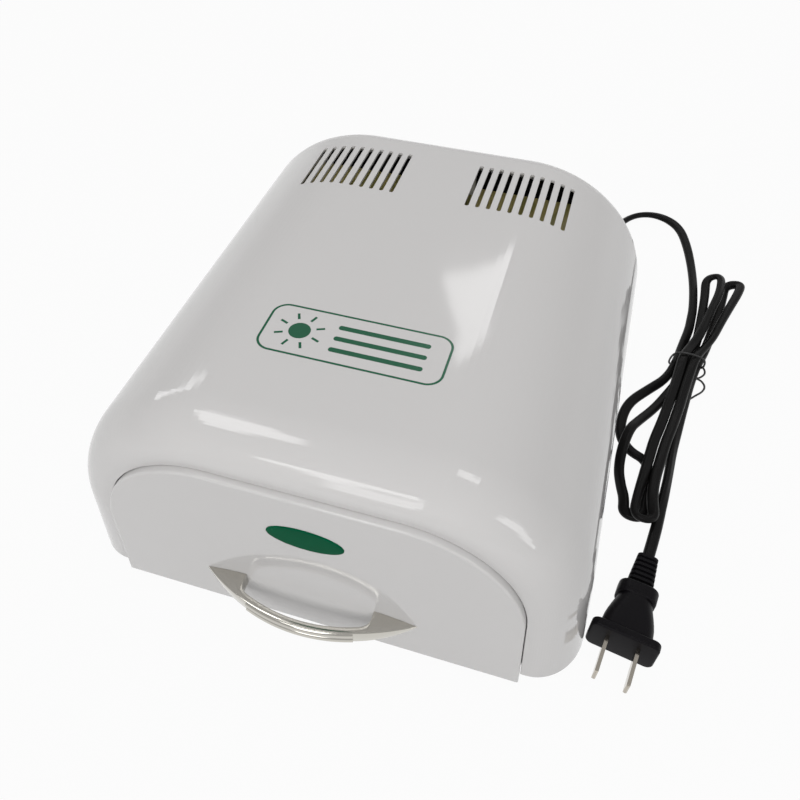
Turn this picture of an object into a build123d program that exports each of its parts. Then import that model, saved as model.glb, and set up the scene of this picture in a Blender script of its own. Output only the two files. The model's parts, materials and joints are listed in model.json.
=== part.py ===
"""Bench light-curing unit: an arched white casing with a pull-out drawer, four
twin-tube lamps over the drawer, two ballast boards under the roof vents, and a
flat two-core mains lead with a moulded two-pin plug, folded into a tied hank.

Frame: +X right, +Y to the rear, +Z up, millimetres.  The origin is on the table,
in the middle of the unit without its lead.  `behind` always means a distance
behind the plane of the casing's front rim.
"""
import os
from math import cos, degrees, pi, radians, sin, tan

from build123d import *

os.makedirs("parts", exist_ok=True)

# ---------------------------------------------------------------- driving sizes
# Casing
SHELL_HALF = 110.0          # half width at its lower edge
SHELL_DEPTH = 220.0
SHELL_HEIGHT = 100.0
SHELL_RADIUS = 66.0         # round shoulders
SHELL_LEAN = radians(6.2)   # how far the sides lean in
WALL = 2.5
FRONT_ROUND = 25.0          # how far back the front edge's rounding reaches
REAR_ROUND = 10.0
FOOT_HEIGHT = 5.0
PAN_THICK = 2.0
PAN_GAP = 0.4               # base pan to casing wall

# Drawer face, which stands in the casing's front opening
FACE_INSET = 22.5           # its lower corners inside the casing's
FACE_LOW = 2.3              # its lower edge above the table
FACE_DROP = 13.7            # its top under the casing's
FACE_RADIUS = 49.0
FACE_LEAN = radians(4.3)
FACE_PROUD = 3.0
FACE_THICK = 5.0
FACE_EDGE = 0.8
FACE_GAP = 0.6
RIM_FLAT = 1.5              # flat rim of the casing round the opening
COLLAR_THICK = 2.0          # flange that runs back from the rim
COLLAR_DEPTH = 10.0

# Handle
HANDLE_SPAN = 89.6
HANDLE_REACH = 16.2
HANDLE_HEIGHT = 6.6
HANDLE_Z = 26.3
HANDLE_TIP = 0.8            # height left at its pointed ends
GRIP_SPAN = 54.2            # finger gap along the face
GRIP_THICK = 3.8            # bar, front to back, at mid span
GRIP_CORNER = 5.0
RIB_RADIUS = 1.6            # two ribs run along the bar, one over the other
RIB_HALF = 22.0             # and end this far from the middle
FOOT_STEP = 0.8             # the bar behind them lies this much further back
SCREW_PITCH = 66.0

# Oval plate on the drawer face
BADGE_SIZE = (31.0, 14.0, 0.5)
BADGE_Z = 69.5

# Vents
SLOTS = 10
SLOT_PITCH = 5.0
SLOT_WIDTH = 2.0
SLOT_LENGTH = 35.0
SLOT_FIRST = 18.2           # first slot's centre from the middle
SLOT_REAR = 19.5            # from the slots' rear ends to the casing's rear face

# Tray, runners and rails
TRAY_INSET = 5.0            # tray wall inside the face's edge
TRAY_CLEAR = 12.0           # tray to bulkhead
TRAY_WALL = 1.5
TRAY_LOW = 9.2
TRAY_HIGH = 22.0
RUNNER_WIDE = 3.4
RUNNER_Z = 11.4
RUNNER_THICK = 1.8
RAIL_GAP = 0.35
RAIL_SHEET = 1.0
RAIL_FOOT = 4.3             # foot beyond the rail's web
RAIL_FRONT = 12.0
RAIL_CLEAR = 4.0            # rails to bulkhead
DRAWER_TRAVEL = 112.0
STOP_GAP = 0.3
BUFFER_RADIUS = 3.0
BUFFER_HEIGHT = 1.7
BUFFER_INSET = 22.5         # inside the tray's side
HOOK_DROP = 1.5             # stop lip under the tray's rear edge
HOOK_OVER = 7.5             # it runs past the buffers
TRAY_SCREW_X = 57.6
TRAY_SCREW_Z = 16.0
MIRROR_THICK = 1.0

# Reflector and bay
LINER_SHEET = 0.8
LINER_WIDER = 4.5           # wider than the drawer face
LINER_UNDER = 5.3           # and lower
LINER_FRONT = 10.4
BAY_DEPTH = 48.0            # behind the bulkhead
BULKHEAD_SHEET = 1.2

# Lamps: twin tube, two-pin base
TUBE_RADIUS = 6.0
TUBE_PITCH = 14.0
TUBE_LENGTH = 129.0
BRIDGE_BACK = 10.0
CAP_WIDE = 31.0
CAP_THICK = 17.0
CAP_LENGTH = 15.4
POST_SIDE = 13.6
POST_LENGTH = 20.0
PIN_RADIUS = 1.15
SOCKET_LENGTH = 24.0
SOCKET_WIDE = 30.0
SOCKET_THICK = 20.0
TOP_LAMP_X = 30.0
LAMP_CLEAR = 4.0            # tube to reflector
SIDE_LAMP_Z = 42.0

# Ballast boards
BOARD_SIDE = 37.5           # outer edge inside the casing's lower edge
BOARD_DEEP = 41.0
BOARD_THICK = 1.6
BOARD_BELOW_ROOF = 10.5     # board's upper face under the roof's inside
BOARD_FIRST = 9.5           # inner edge from the middle
BOARD_REAR = 19.0           # rear edge from the casing's rear face
BOARD_HOLE_INSET = 4.4
BOARD_SCREW = 1.1           # radius
BOARD_SCREW_BITE = 2.8      # in the roof's bosses
PARTS_BACK = 1.5            # its tall parts hang this far behind the bulkhead
COIL_OUT = 8.0              # and this far beside the top lamps' sockets

# Screws
SCREW_RADIUS = 1.5
SCREW_FIT = 0.05
SCREW_LENGTH = 14.0
BOSS_RADIUS = 4.0
BOSS_HEIGHT = 34.0
BOSS_WEB = 2.0
BOSS_INSET = 9.0            # boss axis inside the casing's lower edge
BOSS_END = 20.0             # bosses from the front and rear
FOOT_RADIUS = 7.0
FOOT_SIDE = 40.0            # feet inside the casing's lower edge
FOOT_END = 25.0             # and from the front and rear

# Rear controls
SWITCH_X = -55.0
CONTROL_Z = 32.0
SWITCH_WIDE = 13.0
SWITCH_TALL = 19.2
SWITCH_DEEP = 17.0
SWITCH_WALL = 1.5
BEZEL_OVER = 1.6
BEZEL_PROUD = 1.5
ROCKER_GAP = 0.6            # rocker to the switch's side walls
ROCKER_TALL = 14.4
ROCKER_PROUD = 1.2          # its ends stand out of the bezel
ROCKER_HOLLOW = 1.7         # its middle lies this much deeper
ROCKER_END = 3.5            # depth of its ends
ROCKER_HEEL = (3.0, 4.4)    # its foot under the pivot: depth, height
ROCKER_SWING = radians(9)   # to each side of level
BUTTON_X = -24.0
BUTTON_RADIUS = 4.8
BUTTON_FIT = 0.25
BUTTON_PROUD = 2.2          # cap beyond its bezel
BUTTON_TRAVEL = 1.8
LENS_X = -8.0
LENS_RADIUS = 2.5

# Mains lead
CORD_DIAMETER = 4.8
CORD_LOW = 2.45             # axis of a strand on the table
CORD_HIGH = 7.75            # axis of a strand that lies on another
TIE_LIFT = 1.4              # strands stand this much higher inside the tie
GLAND_INSET = 30.0          # the lead's exit inside the casing's half width
GLAND_X = SHELL_HALF - GLAND_INSET
GLAND_Z = 17.0
GLAND_FLANGE = 8.5
GLAND_NECK = 5.4
GLAND_TAIL = 17.0           # tapered tail behind the flange
TIE_WIRE = 0.9

# Plug
PLUG_X = 124.6              # middle of its front face
PLUG_BEHIND = 22.35
PLUG_TURN = radians(9.5)    # its cord points this far right of straight back
PLUG_DROP = radians(4.0)    # and this far down
FLANGE_SIZE = (28.2, 16.4, 3.9)
# sections of its rounded body: distance from its front, width, height
DOME = ((3.9, 21.4, 14.0), (10.0, 20.6, 13.6), (16.0, 18.0, 13.0), (22.6, 14.5, 12.0))
COLLAR_SIZE = (17.0, 12.6, 6.8)
RELIEF_RIBS = 7
PLUG_LENGTH = 47.0
BLADE_PITCH = 12.7
BLADE_SIZE = (1.5, 6.3, 17.6)

# ------------------------------------------------------------- worked-out sizes
SHELL_LOW = FOOT_HEIGHT
SHELL_TOP = SHELL_LOW + SHELL_HEIGHT
PAN_TOP = SHELL_LOW + PAN_THICK
FACE_HALF = SHELL_HALF - FACE_INSET
FACE_TOP = SHELL_TOP - FACE_DROP
BEZEL_FACE = SHELL_DEPTH + BEZEL_PROUD
REAR_REACH = BEZEL_FACE + BUTTON_PROUD
FRONT_REACH = FACE_PROUD + HANDLE_REACH
FRONT_Y = (FRONT_REACH - REAR_REACH) / 2     # y of the casing's front rim

OPENING_HALF = FACE_HALF + FACE_GAP
OPENING_TOP = FACE_TOP + FACE_GAP
OPENING_RADIUS = FACE_RADIUS + FACE_GAP
RIM_HALF = OPENING_HALF + RIM_FLAT - (SHELL_LOW - FACE_LOW) * tan(FACE_LEAN)

TRAY_HALF = FACE_HALF - TRAY_INSET
RUNNER_HALF = TRAY_HALF + RUNNER_WIDE
FACE_BACK = FACE_THICK - FACE_PROUD
BULKHEAD = SHELL_DEPTH - BAY_DEPTH
TRAY_REAR = BULKHEAD - TRAY_CLEAR
TRAY_DEPTH = TRAY_REAR - FACE_BACK
RAIL_LENGTH = BULKHEAD - RAIL_CLEAR - RAIL_FRONT
BUFFER_X = TRAY_HALF - BUFFER_INSET
LINER_HALF = FACE_HALF + LINER_WIDER
LINER_TOP = FACE_TOP - LINER_UNDER
LINER_RADIUS = FACE_RADIUS + 1
TOP_LAMP_Z = LINER_TOP - LAMP_CLEAR - TUBE_RADIUS
SIDE_LAMP_X = (LINER_HALF - (SIDE_LAMP_Z + TUBE_PITCH / 2 - PAN_TOP) * tan(FACE_LEAN)
               - 2 * LAMP_CLEAR - TUBE_RADIUS)
BOARD_TOP = SHELL_TOP - WALL - BOARD_BELOW_ROOF
BOARD_LOW = BOARD_TOP - BOARD_THICK
BOARD_WIDE = SHELL_HALF - BOARD_SIDE - BOARD_FIRST
BOARD_BACK = SHELL_DEPTH - BOARD_REAR
BOARD_FRONT = BOARD_BACK - BOARD_DEEP
BOSS_X = SHELL_HALF - BOSS_INSET
BOSS_PLACES = [(side * BOSS_X, behind) for side in (-1, 1)
               for behind in (BOSS_END, SHELL_DEPTH / 2 + 2, SHELL_DEPTH - BOSS_END)]
FOOT_PLACES = [(side * (SHELL_HALF - FOOT_SIDE), behind) for side in (-1, 1)
               for behind in (FOOT_END, SHELL_DEPTH - FOOT_END)]
# each lamp: middle x, middle z, and whether its tubes stand one over the other
LAMPS = {"top_left": (-TOP_LAMP_X, TOP_LAMP_Z, False), "top_right": (TOP_LAMP_X, TOP_LAMP_Z, False),
         "side_left": (-SIDE_LAMP_X, SIDE_LAMP_Z, True), "side_right": (SIDE_LAMP_X, SIDE_LAMP_Z, True)}
CAP_GAP = 0.2               # lamp cap to bulkhead
CAP_FRONT = BULKHEAD - CAP_GAP - CAP_LENGTH
TUBE_TIP = CAP_FRONT - TUBE_LENGTH

LOW = (Align.CENTER, Align.CENTER, Align.MIN)


# --------------------------------------------------------------------- helpers
def y_of(behind):
    """y of a plane that lies `behind` the casing's front rim."""
    return FRONT_Y + behind


def upright(behind):
    """A sketch plane that faces the front: its x is X and its y is Z."""
    return Plane.XZ.offset(-y_of(behind))


def slab(size, x, behind, z, mode=Mode.ADD):
    """A box standing on height z, `size` wide, deep and tall."""
    with Locations((x, y_of(behind), z)):
        Box(*size, align=LOW, mode=mode)


def peg(radius, height, x, behind, z, mode=Mode.ADD):
    """An upright cylinder standing on height z."""
    with Locations((x, y_of(behind), z)):
        Cylinder(radius, height, align=LOW, mode=mode)


def rod(radius, length, x, behind, z, mode=Mode.ADD):
    """A level cylinder that runs rearwards from `behind`."""
    with BuildSketch(upright(behind)) as disc:
        with Locations((x, z)):
            Circle(radius)
    extrude(disc.sketch, amount=-length, mode=mode)


def bar(width, height, length, x, behind, z, corner=0.0, mode=Mode.ADD):
    """A level rectangular bar that runs rearwards from `behind`, centred on x, z."""
    with BuildSketch(upright(behind)) as end:
        with Locations((x, z)):
            if corner:
                RectangleRounded(width, height, corner)
            else:
                Rectangle(width, height)
    extrude(end.sketch, amount=-length, mode=mode)


def arch(half, low, high, radius, lean, below=0.0):
    """An arch on the sketch: leaning sides, round shoulders and a flat top.
    `half` is its half width at height `low`; the sides run on down by `below`."""
    shoulder = half - (radius + (high - radius - low) * sin(lean)) / cos(lean)
    side = (shoulder + radius * cos(lean), high - radius + radius * sin(lean))
    foot = (half + below * tan(lean), low - below)
    sweep_angle = 90 - degrees(lean)
    with BuildLine() as line:
        Polyline((-side[0], side[1]), (-foot[0], foot[1]), foot, side)
        CenterArc((shoulder, high - radius), radius, degrees(lean), sweep_angle)
        Line((shoulder, high), (-shoulder, high))
        CenterArc((-shoulder, high - radius), radius, 90, sweep_angle)
    make_face(line.edges())


def housing(inset, below=0.0):
    """The casing's own shape drawn in by `inset`, as one solid block."""
    full = (SHELL_HALF - inset, SHELL_TOP - inset, SHELL_RADIUS - inset, SHELL_LEAN)
    rim = (RIM_HALF, OPENING_TOP + RIM_FLAT, OPENING_RADIUS + RIM_FLAT, FACE_LEAN)
    rear = SHELL_DEPTH - REAR_ROUND
    with BuildPart() as block:
        for turn in (0, 12, 24, 36, 48, 60, 75, 90):
            drawn = 1 - sin(radians(turn))
            half, high, radius, lean = [a + drawn * (b - a) for a, b in zip(full, rim)]
            with BuildSketch(upright(inset + (FRONT_ROUND - inset) * (1 - cos(radians(turn))))):
                arch(half, SHELL_LOW, high, radius, lean, below)
        loft()
        with BuildSketch(upright(FRONT_ROUND)):
            arch(full[0], SHELL_LOW, *full[1:], below)
        extrude(amount=FRONT_ROUND - rear)
        for turn in (0, 15, 30, 45, 60, 75, 90):
            drawn = (REAR_ROUND - inset) * (1 - cos(radians(turn)))
            with BuildSketch(upright(rear + (REAR_ROUND - inset) * sin(radians(turn)))):
                arch(full[0] - drawn, SHELL_LOW, full[1] - drawn, full[2] - drawn, SHELL_LEAN, below)
        loft()
    return block.part


def finish(piece, name):
    """Names a finished piece and writes it."""
    piece.part.label = name
    export_step(piece.part, f"parts/{name}.step")


def arc_radii(points):
    """The largest tangent arcs that the runs of a route allow, one for each corner."""
    radii = []
    for before, corner, after in zip(points, points[1:], points[2:]):
        run_in = Vector(corner) - Vector(before)
        run_out = Vector(after) - Vector(corner)
        half_turn = radians(run_in.get_angle(run_out)) / 2
        radii.append(0.45 * min(run_in.length, run_out.length) / tan(half_turn))
    return radii


def tube(points, diameter, radii=None):
    """A round tube along straight runs joined by tangent arcs; returns its length."""
    radii = radii or arc_radii(points)
    with BuildLine() as line:
        FilletPolyline(*points, radius=radii)
    path = line.wire()
    with BuildSketch(Plane(origin=path @ 0, z_dir=path % 0)) as ring:
        Circle(diameter / 2)
    sweep(ring.sketch, path=path)
    return path.length


# ---------------------------------------------------------------------- casing
outer = housing(0)
cavity = housing(WALL, below=3)
within = housing(WALL + PAN_GAP)

with BuildPart() as rim_collar:
    with BuildSketch(upright(RIM_FLAT)):
        arch(OPENING_HALF + COLLAR_THICK, FACE_LOW, OPENING_TOP + COLLAR_THICK,
             OPENING_RADIUS + COLLAR_THICK, FACE_LEAN)
    extrude(amount=RIM_FLAT - COLLAR_DEPTH)
    slab((2 * SHELL_HALF, 2 * COLLAR_DEPTH, PAN_TOP + PAN_GAP), 0, COLLAR_DEPTH / 2, 0, Mode.SUBTRACT)

BOARD_BOSSES = [(side * (BOARD_FIRST + edge), behind) for side in (-1, 1)
                for edge in (BOARD_HOLE_INSET, BOARD_WIDE - BOARD_HOLE_INSET)
                for behind in (BOARD_FRONT + BOARD_HOLE_INSET, BOARD_BACK - BOARD_HOLE_INSET)]
BOARD_BOSS_RADIUS = 2.6
BOSS_LOW = PAN_TOP + 0.3    # the bosses end just over the base pan

with BuildPart() as posts:
    for x, behind in BOSS_PLACES:
        peg(BOSS_RADIUS, BOSS_HEIGHT, x, behind, BOSS_LOW)
        web_x = x + BOSS_INSET / 2 if x > 0 else x - BOSS_INSET / 2
        slab((BOSS_INSET, BOSS_WEB, BOSS_HEIGHT), web_x, behind, BOSS_LOW)
    for x, behind in BOARD_BOSSES:
        peg(BOARD_BOSS_RADIUS, SHELL_TOP - BOARD_TOP, x, behind, BOARD_TOP)
    add(outer, mode=Mode.INTERSECT)

BARREL_RADIUS = BUTTON_RADIUS + BUTTON_FIT + 1.0
CUT_FIT = 0.1               # round everything that passes through the rear wall
REAR_CUT = SHELL_DEPTH - WALL - 1
ROOF_CUT = SHELL_TOP + 1

with BuildPart() as top_shell:
    add(outer)
    add(cavity, mode=Mode.SUBTRACT)
    add(rim_collar.part)
    add(posts.part)
    with BuildSketch(upright(-1)):
        arch(OPENING_HALF, FACE_LOW, OPENING_TOP, OPENING_RADIUS, FACE_LEAN, below=3)
    extrude(amount=-(COLLAR_DEPTH + 2), mode=Mode.SUBTRACT)
    for x, behind in BOSS_PLACES:
        peg(SCREW_RADIUS + SCREW_FIT, SCREW_LENGTH, x, behind, PAN_TOP, Mode.SUBTRACT)
    for x, behind in BOARD_BOSSES:
        peg(BOARD_SCREW + SCREW_FIT, BOARD_SCREW_BITE + 0.2, x, behind, BOARD_TOP, Mode.SUBTRACT)
    with BuildSketch(Plane.XY.offset(ROOF_CUT)):
        for side in (-1, 1):
            for i in range(SLOTS):
                slot_x = side * (SLOT_FIRST + i * SLOT_PITCH)
                with Locations((slot_x, y_of(SHELL_DEPTH - SLOT_REAR - SLOT_LENGTH / 2))):
                    SlotOverall(SLOT_LENGTH, SLOT_WIDTH, rotation=90)
    extrude(amount=BOARD_TOP - ROOF_CUT, mode=Mode.SUBTRACT)
    bar(SWITCH_WIDE + 2 * CUT_FIT, SWITCH_TALL + 2 * CUT_FIT, 2 * WALL, SWITCH_X, REAR_CUT, CONTROL_Z,
        mode=Mode.SUBTRACT)
    for radius, x, z in ((BARREL_RADIUS, BUTTON_X, CONTROL_Z), (LENS_RADIUS, LENS_X, CONTROL_Z),
                         (GLAND_NECK, GLAND_X, GLAND_Z)):
        rod(radius + CUT_FIT, 2 * WALL, x, REAR_CUT, z, Mode.SUBTRACT)
finish(top_shell, "top_shell")

# -------------------------------------------------------------------- base pan
STEM_RADIUS = 2.9
STEM_FIT = 0.1
BARB_OVER = 0.8
BARB_HEIGHT = 1.2
TAB_OUT = 6.4
TAB_LONG = 14.0
TAB_X = LINER_HALF + LINER_SHEET + TAB_OUT / 2
TAB_FRONT = 60.0                            # behind the rim
TAB_REAR = 32.0                             # before the bulkhead
TAB_PLACES = [(side * TAB_X, behind) for side in (-1, 1) for behind in (TAB_FRONT, BULKHEAD - TAB_REAR)]
RAIL_X = RUNNER_HALF + RAIL_GAP             # inner face of a rail's web
RAIL_SCREW_X = RAIL_X + RAIL_SHEET + RAIL_FOOT / 2
RAIL_SCREW_END = 18.0                       # from the rail's ends
RAIL_SCREWS = [(side * RAIL_SCREW_X, behind) for side in (-1, 1)
               for behind in (RAIL_FRONT + RAIL_SCREW_END, RAIL_FRONT + RAIL_LENGTH - RAIL_SCREW_END)]
SMALL_SCREW = 1.2                           # radius
SMALL_HEAD = 1.9
HEAD_HEIGHT = 1.2
PAN_FRONT = FACE_BACK + 2.0
PAN_SLOTS = 12
PAN_SLOT_PITCH = 7.0
PAN_SLOT_WIDE = 2.4
PAN_SLOT_LONG = 22.0
CROSS_LONG = 3.2                            # cross recess in a screw's head
CROSS_WIDE = 0.6

with BuildPart() as base_pan:
    add(within)
    slab((3 * SHELL_HALF, 3 * SHELL_DEPTH, 3 * SHELL_TOP), 0, SHELL_DEPTH / 2, PAN_TOP, Mode.SUBTRACT)
    slab((3 * SHELL_HALF, 2 * PAN_FRONT, 3 * SHELL_TOP), 0, 0, 0, Mode.SUBTRACT)
    for x, behind in FOOT_PLACES:
        peg(STEM_RADIUS + STEM_FIT, PAN_TOP, x, behind, 0, Mode.SUBTRACT)
    for x, behind in BOSS_PLACES:
        with Locations((x, y_of(behind), SHELL_LOW)):
            Cone(2 * SCREW_RADIUS + SCREW_FIT, SCREW_RADIUS + SCREW_FIT, SCREW_RADIUS,
                 align=LOW, mode=Mode.SUBTRACT)
        peg(SCREW_RADIUS + SCREW_FIT, PAN_TOP, x, behind, 0, Mode.SUBTRACT)
    for x, behind in TAB_PLACES + RAIL_SCREWS:
        peg(SMALL_SCREW + SCREW_FIT, PAN_TOP, x, behind, 0, Mode.SUBTRACT)
    with Locations((0, y_of(BULKHEAD + BAY_DEPTH / 2), SHELL_LOW)):
        with GridLocations(PAN_SLOT_PITCH, 0, PAN_SLOTS, 1):
            Box(PAN_SLOT_WIDE, PAN_SLOT_LONG, 3 * PAN_THICK, mode=Mode.SUBTRACT)
finish(base_pan, "base_pan")

with BuildPart() as rubber_feet:
    for x, behind in FOOT_PLACES:
        with Locations((x, y_of(behind), 0)):
            Cone(FOOT_RADIUS - 1, FOOT_RADIUS, FOOT_HEIGHT, align=LOW)
        peg(STEM_RADIUS, PAN_THICK + STEM_FIT, x, behind, FOOT_HEIGHT)
        with Locations((x, y_of(behind), PAN_TOP + STEM_FIT)):
            Cone(STEM_RADIUS + BARB_OVER, STEM_RADIUS - BARB_OVER, BARB_HEIGHT, align=LOW)
finish(rubber_feet, "rubber_feet")

with BuildPart() as base_screws:
    for x, behind in BOSS_PLACES:
        with Locations((x, y_of(behind), SHELL_LOW)):
            Cone(2 * SCREW_RADIUS, SCREW_RADIUS, SCREW_RADIUS, align=LOW)
        peg(SCREW_RADIUS, SCREW_LENGTH, x, behind, SHELL_LOW)
        slab((CROSS_LONG, CROSS_WIDE, CROSS_WIDE), x, behind, SHELL_LOW, Mode.SUBTRACT)
        slab((CROSS_WIDE, CROSS_LONG, CROSS_WIDE), x, behind, SHELL_LOW, Mode.SUBTRACT)
finish(base_screws, "base_screws")

with BuildPart() as pan_screws:
    for (x, behind), sheet in [(place, LINER_SHEET) for place in TAB_PLACES] + \
                              [(place, RAIL_SHEET) for place in RAIL_SCREWS]:
        peg(SMALL_SCREW, PAN_THICK + sheet, x, behind, SHELL_LOW)
        peg(SMALL_HEAD, HEAD_HEIGHT, x, behind, PAN_TOP + sheet)
finish(pan_screws, "pan_screws")

# ---------------------------------------------------------------- drawer rails
RAIL_LOW = RUNNER_Z - RAIL_GAP - RAIL_SHEET
RAIL_HIGH = RUNNER_Z + RUNNER_THICK + RAIL_GAP
RAIL_LIP = RAIL_X - TRAY_HALF - 0.5         # the flanges stop short of the tray
for name, side in (("left", -1), ("right", 1)):
    middle = RAIL_FRONT + RAIL_LENGTH / 2
    with BuildPart() as rail:
        slab((RAIL_SHEET, RAIL_LENGTH, RAIL_HIGH + RAIL_SHEET - PAN_TOP),
             side * (RAIL_X + RAIL_SHEET / 2), middle, PAN_TOP)
        slab((RAIL_SHEET + RAIL_FOOT, RAIL_LENGTH, RAIL_SHEET),
             side * (RAIL_X + (RAIL_SHEET + RAIL_FOOT) / 2), middle, PAN_TOP)
        for low in (RAIL_LOW, RAIL_HIGH):
            slab((RAIL_LIP + RAIL_SHEET, RAIL_LENGTH, RAIL_SHEET),
                 side * (RAIL_X + (RAIL_SHEET - RAIL_LIP) / 2), middle, low)
        for x, behind in RAIL_SCREWS:
            peg(SMALL_SCREW + SCREW_FIT, PAN_TOP, x, behind, PAN_THICK, Mode.SUBTRACT)
    finish(rail, f"rail_{name}")

STOPS = (TRAY_REAR - TRAY_WALL - DRAWER_TRAVEL - STOP_GAP - BUFFER_RADIUS,
         TRAY_REAR + STOP_GAP + BUFFER_RADIUS)
with BuildPart() as drawer_stops:
    for side in (-1, 1):
        for behind in STOPS:
            peg(BUFFER_RADIUS, BUFFER_HEIGHT, side * BUFFER_X, behind, PAN_TOP)
finish(drawer_stops, "drawer_stops")

# ---------------------------------------------------------- reflector, bulkhead
LINER_LIP = 4.0             # front flange beyond the liner's own sheet
CHAMBER = (LINER_HALF, PAN_TOP, LINER_TOP, LINER_RADIUS, FACE_LEAN)
CHAMBER_OUTSIDE = (LINER_HALF + LINER_SHEET, PAN_TOP, LINER_TOP + LINER_SHEET,
                   LINER_RADIUS + LINER_SHEET, FACE_LEAN)

with BuildPart() as reflector_liner:
    with BuildSketch(upright(LINER_FRONT)):
        arch(*CHAMBER_OUTSIDE)
    extrude(amount=LINER_FRONT - BULKHEAD)
    with BuildSketch(upright(LINER_FRONT)):
        arch(LINER_HALF + LINER_LIP, PAN_TOP, OPENING_TOP + LINER_LIP, OPENING_RADIUS + LINER_LIP, FACE_LEAN)
    extrude(amount=-LINER_SHEET)
    with BuildSketch(upright(LINER_FRONT - 1)):
        arch(*CHAMBER, below=3)
    extrude(amount=LINER_FRONT - BULKHEAD - 2, mode=Mode.SUBTRACT)
    for x, behind in TAB_PLACES:
        inward = LINER_SHEET / 2 if x < 0 else -LINER_SHEET / 2
        slab((TAB_OUT + LINER_SHEET, TAB_LONG, LINER_SHEET), x + inward, behind, PAN_TOP)
        peg(SMALL_SCREW + SCREW_FIT, PAN_TOP, x, behind, PAN_THICK, Mode.SUBTRACT)
finish(reflector_liner, "reflector_liner")


def pin_places(x, z, stacked):
    """Where a lamp's two pins stand, on both sides of its post."""
    for way in (-PIN_OFFSET, PIN_OFFSET):
        yield (x, z + way) if stacked else (x + way, z)


PIN_OFFSET = POST_SIDE / 2 + 2.6
PIN_LENGTH = 7.0
POST_FIT = 0.15
BULKHEAD_FOOT = (60.0, 10.0, BULKHEAD_SHEET)
with BuildPart() as rear_bulkhead:
    with BuildSketch(upright(BULKHEAD)):
        arch(*CHAMBER_OUTSIDE)
    extrude(amount=-BULKHEAD_SHEET)
    slab(BULKHEAD_FOOT, 0, BULKHEAD + BULKHEAD_FOOT[1] / 2, PAN_TOP)
    for x, z, stacked in LAMPS.values():
        bar(POST_SIDE + 4 * POST_FIT, POST_SIDE + 4 * POST_FIT, 4 * BULKHEAD_SHEET, x,
            BULKHEAD - BULKHEAD_SHEET, z, mode=Mode.SUBTRACT)
        for pin_x, pin_z in pin_places(x, z, stacked):
            rod(PIN_RADIUS + 2 * POST_FIT, 4 * BULKHEAD_SHEET, pin_x, BULKHEAD - BULKHEAD_SHEET, pin_z,
                Mode.SUBTRACT)
finish(rear_bulkhead, "rear_bulkhead")

# ----------------------------------------------------------------------- lamps
for place, (x, z, stacked) in LAMPS.items():
    across = (0, TUBE_PITCH / 2) if stacked else (TUBE_PITCH / 2, 0)
    with BuildPart() as lamp:
        for way in (-1, 1):
            tube_x, tube_z = x + way * across[0], z + way * across[1]
            rod(TUBE_RADIUS, TUBE_LENGTH - TUBE_RADIUS, tube_x, TUBE_TIP + TUBE_RADIUS, tube_z)
            with Locations((tube_x, y_of(TUBE_TIP + TUBE_RADIUS), tube_z)):
                Sphere(TUBE_RADIUS)
        with Locations((x, y_of(TUBE_TIP + BRIDGE_BACK), z)):
            Cylinder(TUBE_RADIUS / 2, TUBE_PITCH, rotation=(0, 0, 0) if stacked else (0, 90, 0))
    finish(lamp, f"lamp_{place}")

CAP_CORNER = 7.9
CAP_BACK = CAP_FRONT + CAP_LENGTH
with BuildPart() as lamp_caps:
    for x, z, stacked in LAMPS.values():
        wide, tall = (CAP_THICK, CAP_WIDE) if stacked else (CAP_WIDE, CAP_THICK)
        bar(wide, tall, CAP_LENGTH, x, CAP_FRONT, z, corner=CAP_CORNER)
        bar(POST_SIDE, POST_SIDE, POST_LENGTH, x, CAP_BACK, z)
finish(lamp_caps, "lamp_caps")

with BuildPart() as lamp_pins:
    for lamp_place in LAMPS.values():
        for pin_x, pin_z in pin_places(*lamp_place):
            rod(PIN_RADIUS, PIN_LENGTH, pin_x, CAP_BACK, pin_z)
finish(lamp_pins, "lamp_pins")

SOCKET_FRONT = BULKHEAD + BULKHEAD_SHEET
SOCKET_CORNER = 2.0
with BuildPart() as lamp_sockets:
    for x, z, stacked in LAMPS.values():
        wide, tall = (SOCKET_THICK, SOCKET_WIDE) if stacked else (SOCKET_WIDE, SOCKET_THICK)
        bar(wide, tall, SOCKET_LENGTH, x, SOCKET_FRONT, z, corner=SOCKET_CORNER)
        bar(POST_SIDE + 2 * POST_FIT, POST_SIDE + 2 * POST_FIT, POST_LENGTH + 2 * POST_FIT, x, CAP_BACK, z,
            mode=Mode.SUBTRACT)
        for pin_x, pin_z in pin_places(x, z, stacked):
            rod(PIN_RADIUS + SCREW_FIT, PIN_LENGTH + 2 * POST_FIT, pin_x, CAP_BACK, pin_z, Mode.SUBTRACT)
finish(lamp_sockets, "lamp_sockets")

# Clips that carry the tubes' front ends on the reflector
CLIP_BACK = TUBE_TIP + 24.0
CLIP_LONG = 8.0
CLIP_SHEET = 0.6
CLIP_GAP = 0.1
with BuildPart() as lamp_clips:
    for x, z, stacked in LAMPS.values():
        if stacked:
            out = 1 if x > 0 else -1
            wall_x = LINER_HALF - (z - PAN_TOP) * tan(FACE_LEAN) - CLIP_GAP
            inner_x = abs(x) + TUBE_RADIUS + CLIP_GAP
            slab((wall_x - inner_x, CLIP_LONG, CLIP_SHEET), out * (wall_x + inner_x) / 2, CLIP_BACK,
                 z - CLIP_SHEET / 2)
            slab((CLIP_SHEET, CLIP_LONG, TUBE_PITCH), out * (inner_x + CLIP_SHEET / 2), CLIP_BACK,
                 z - TUBE_PITCH / 2)
        else:
            low_z = z + TUBE_RADIUS + CLIP_GAP
            slab((CLIP_SHEET, CLIP_LONG, LINER_TOP - low_z), x, CLIP_BACK, low_z)
            slab((TUBE_PITCH, CLIP_LONG, CLIP_SHEET), x, CLIP_BACK, low_z)
finish(lamp_clips, "lamp_clips")

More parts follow.
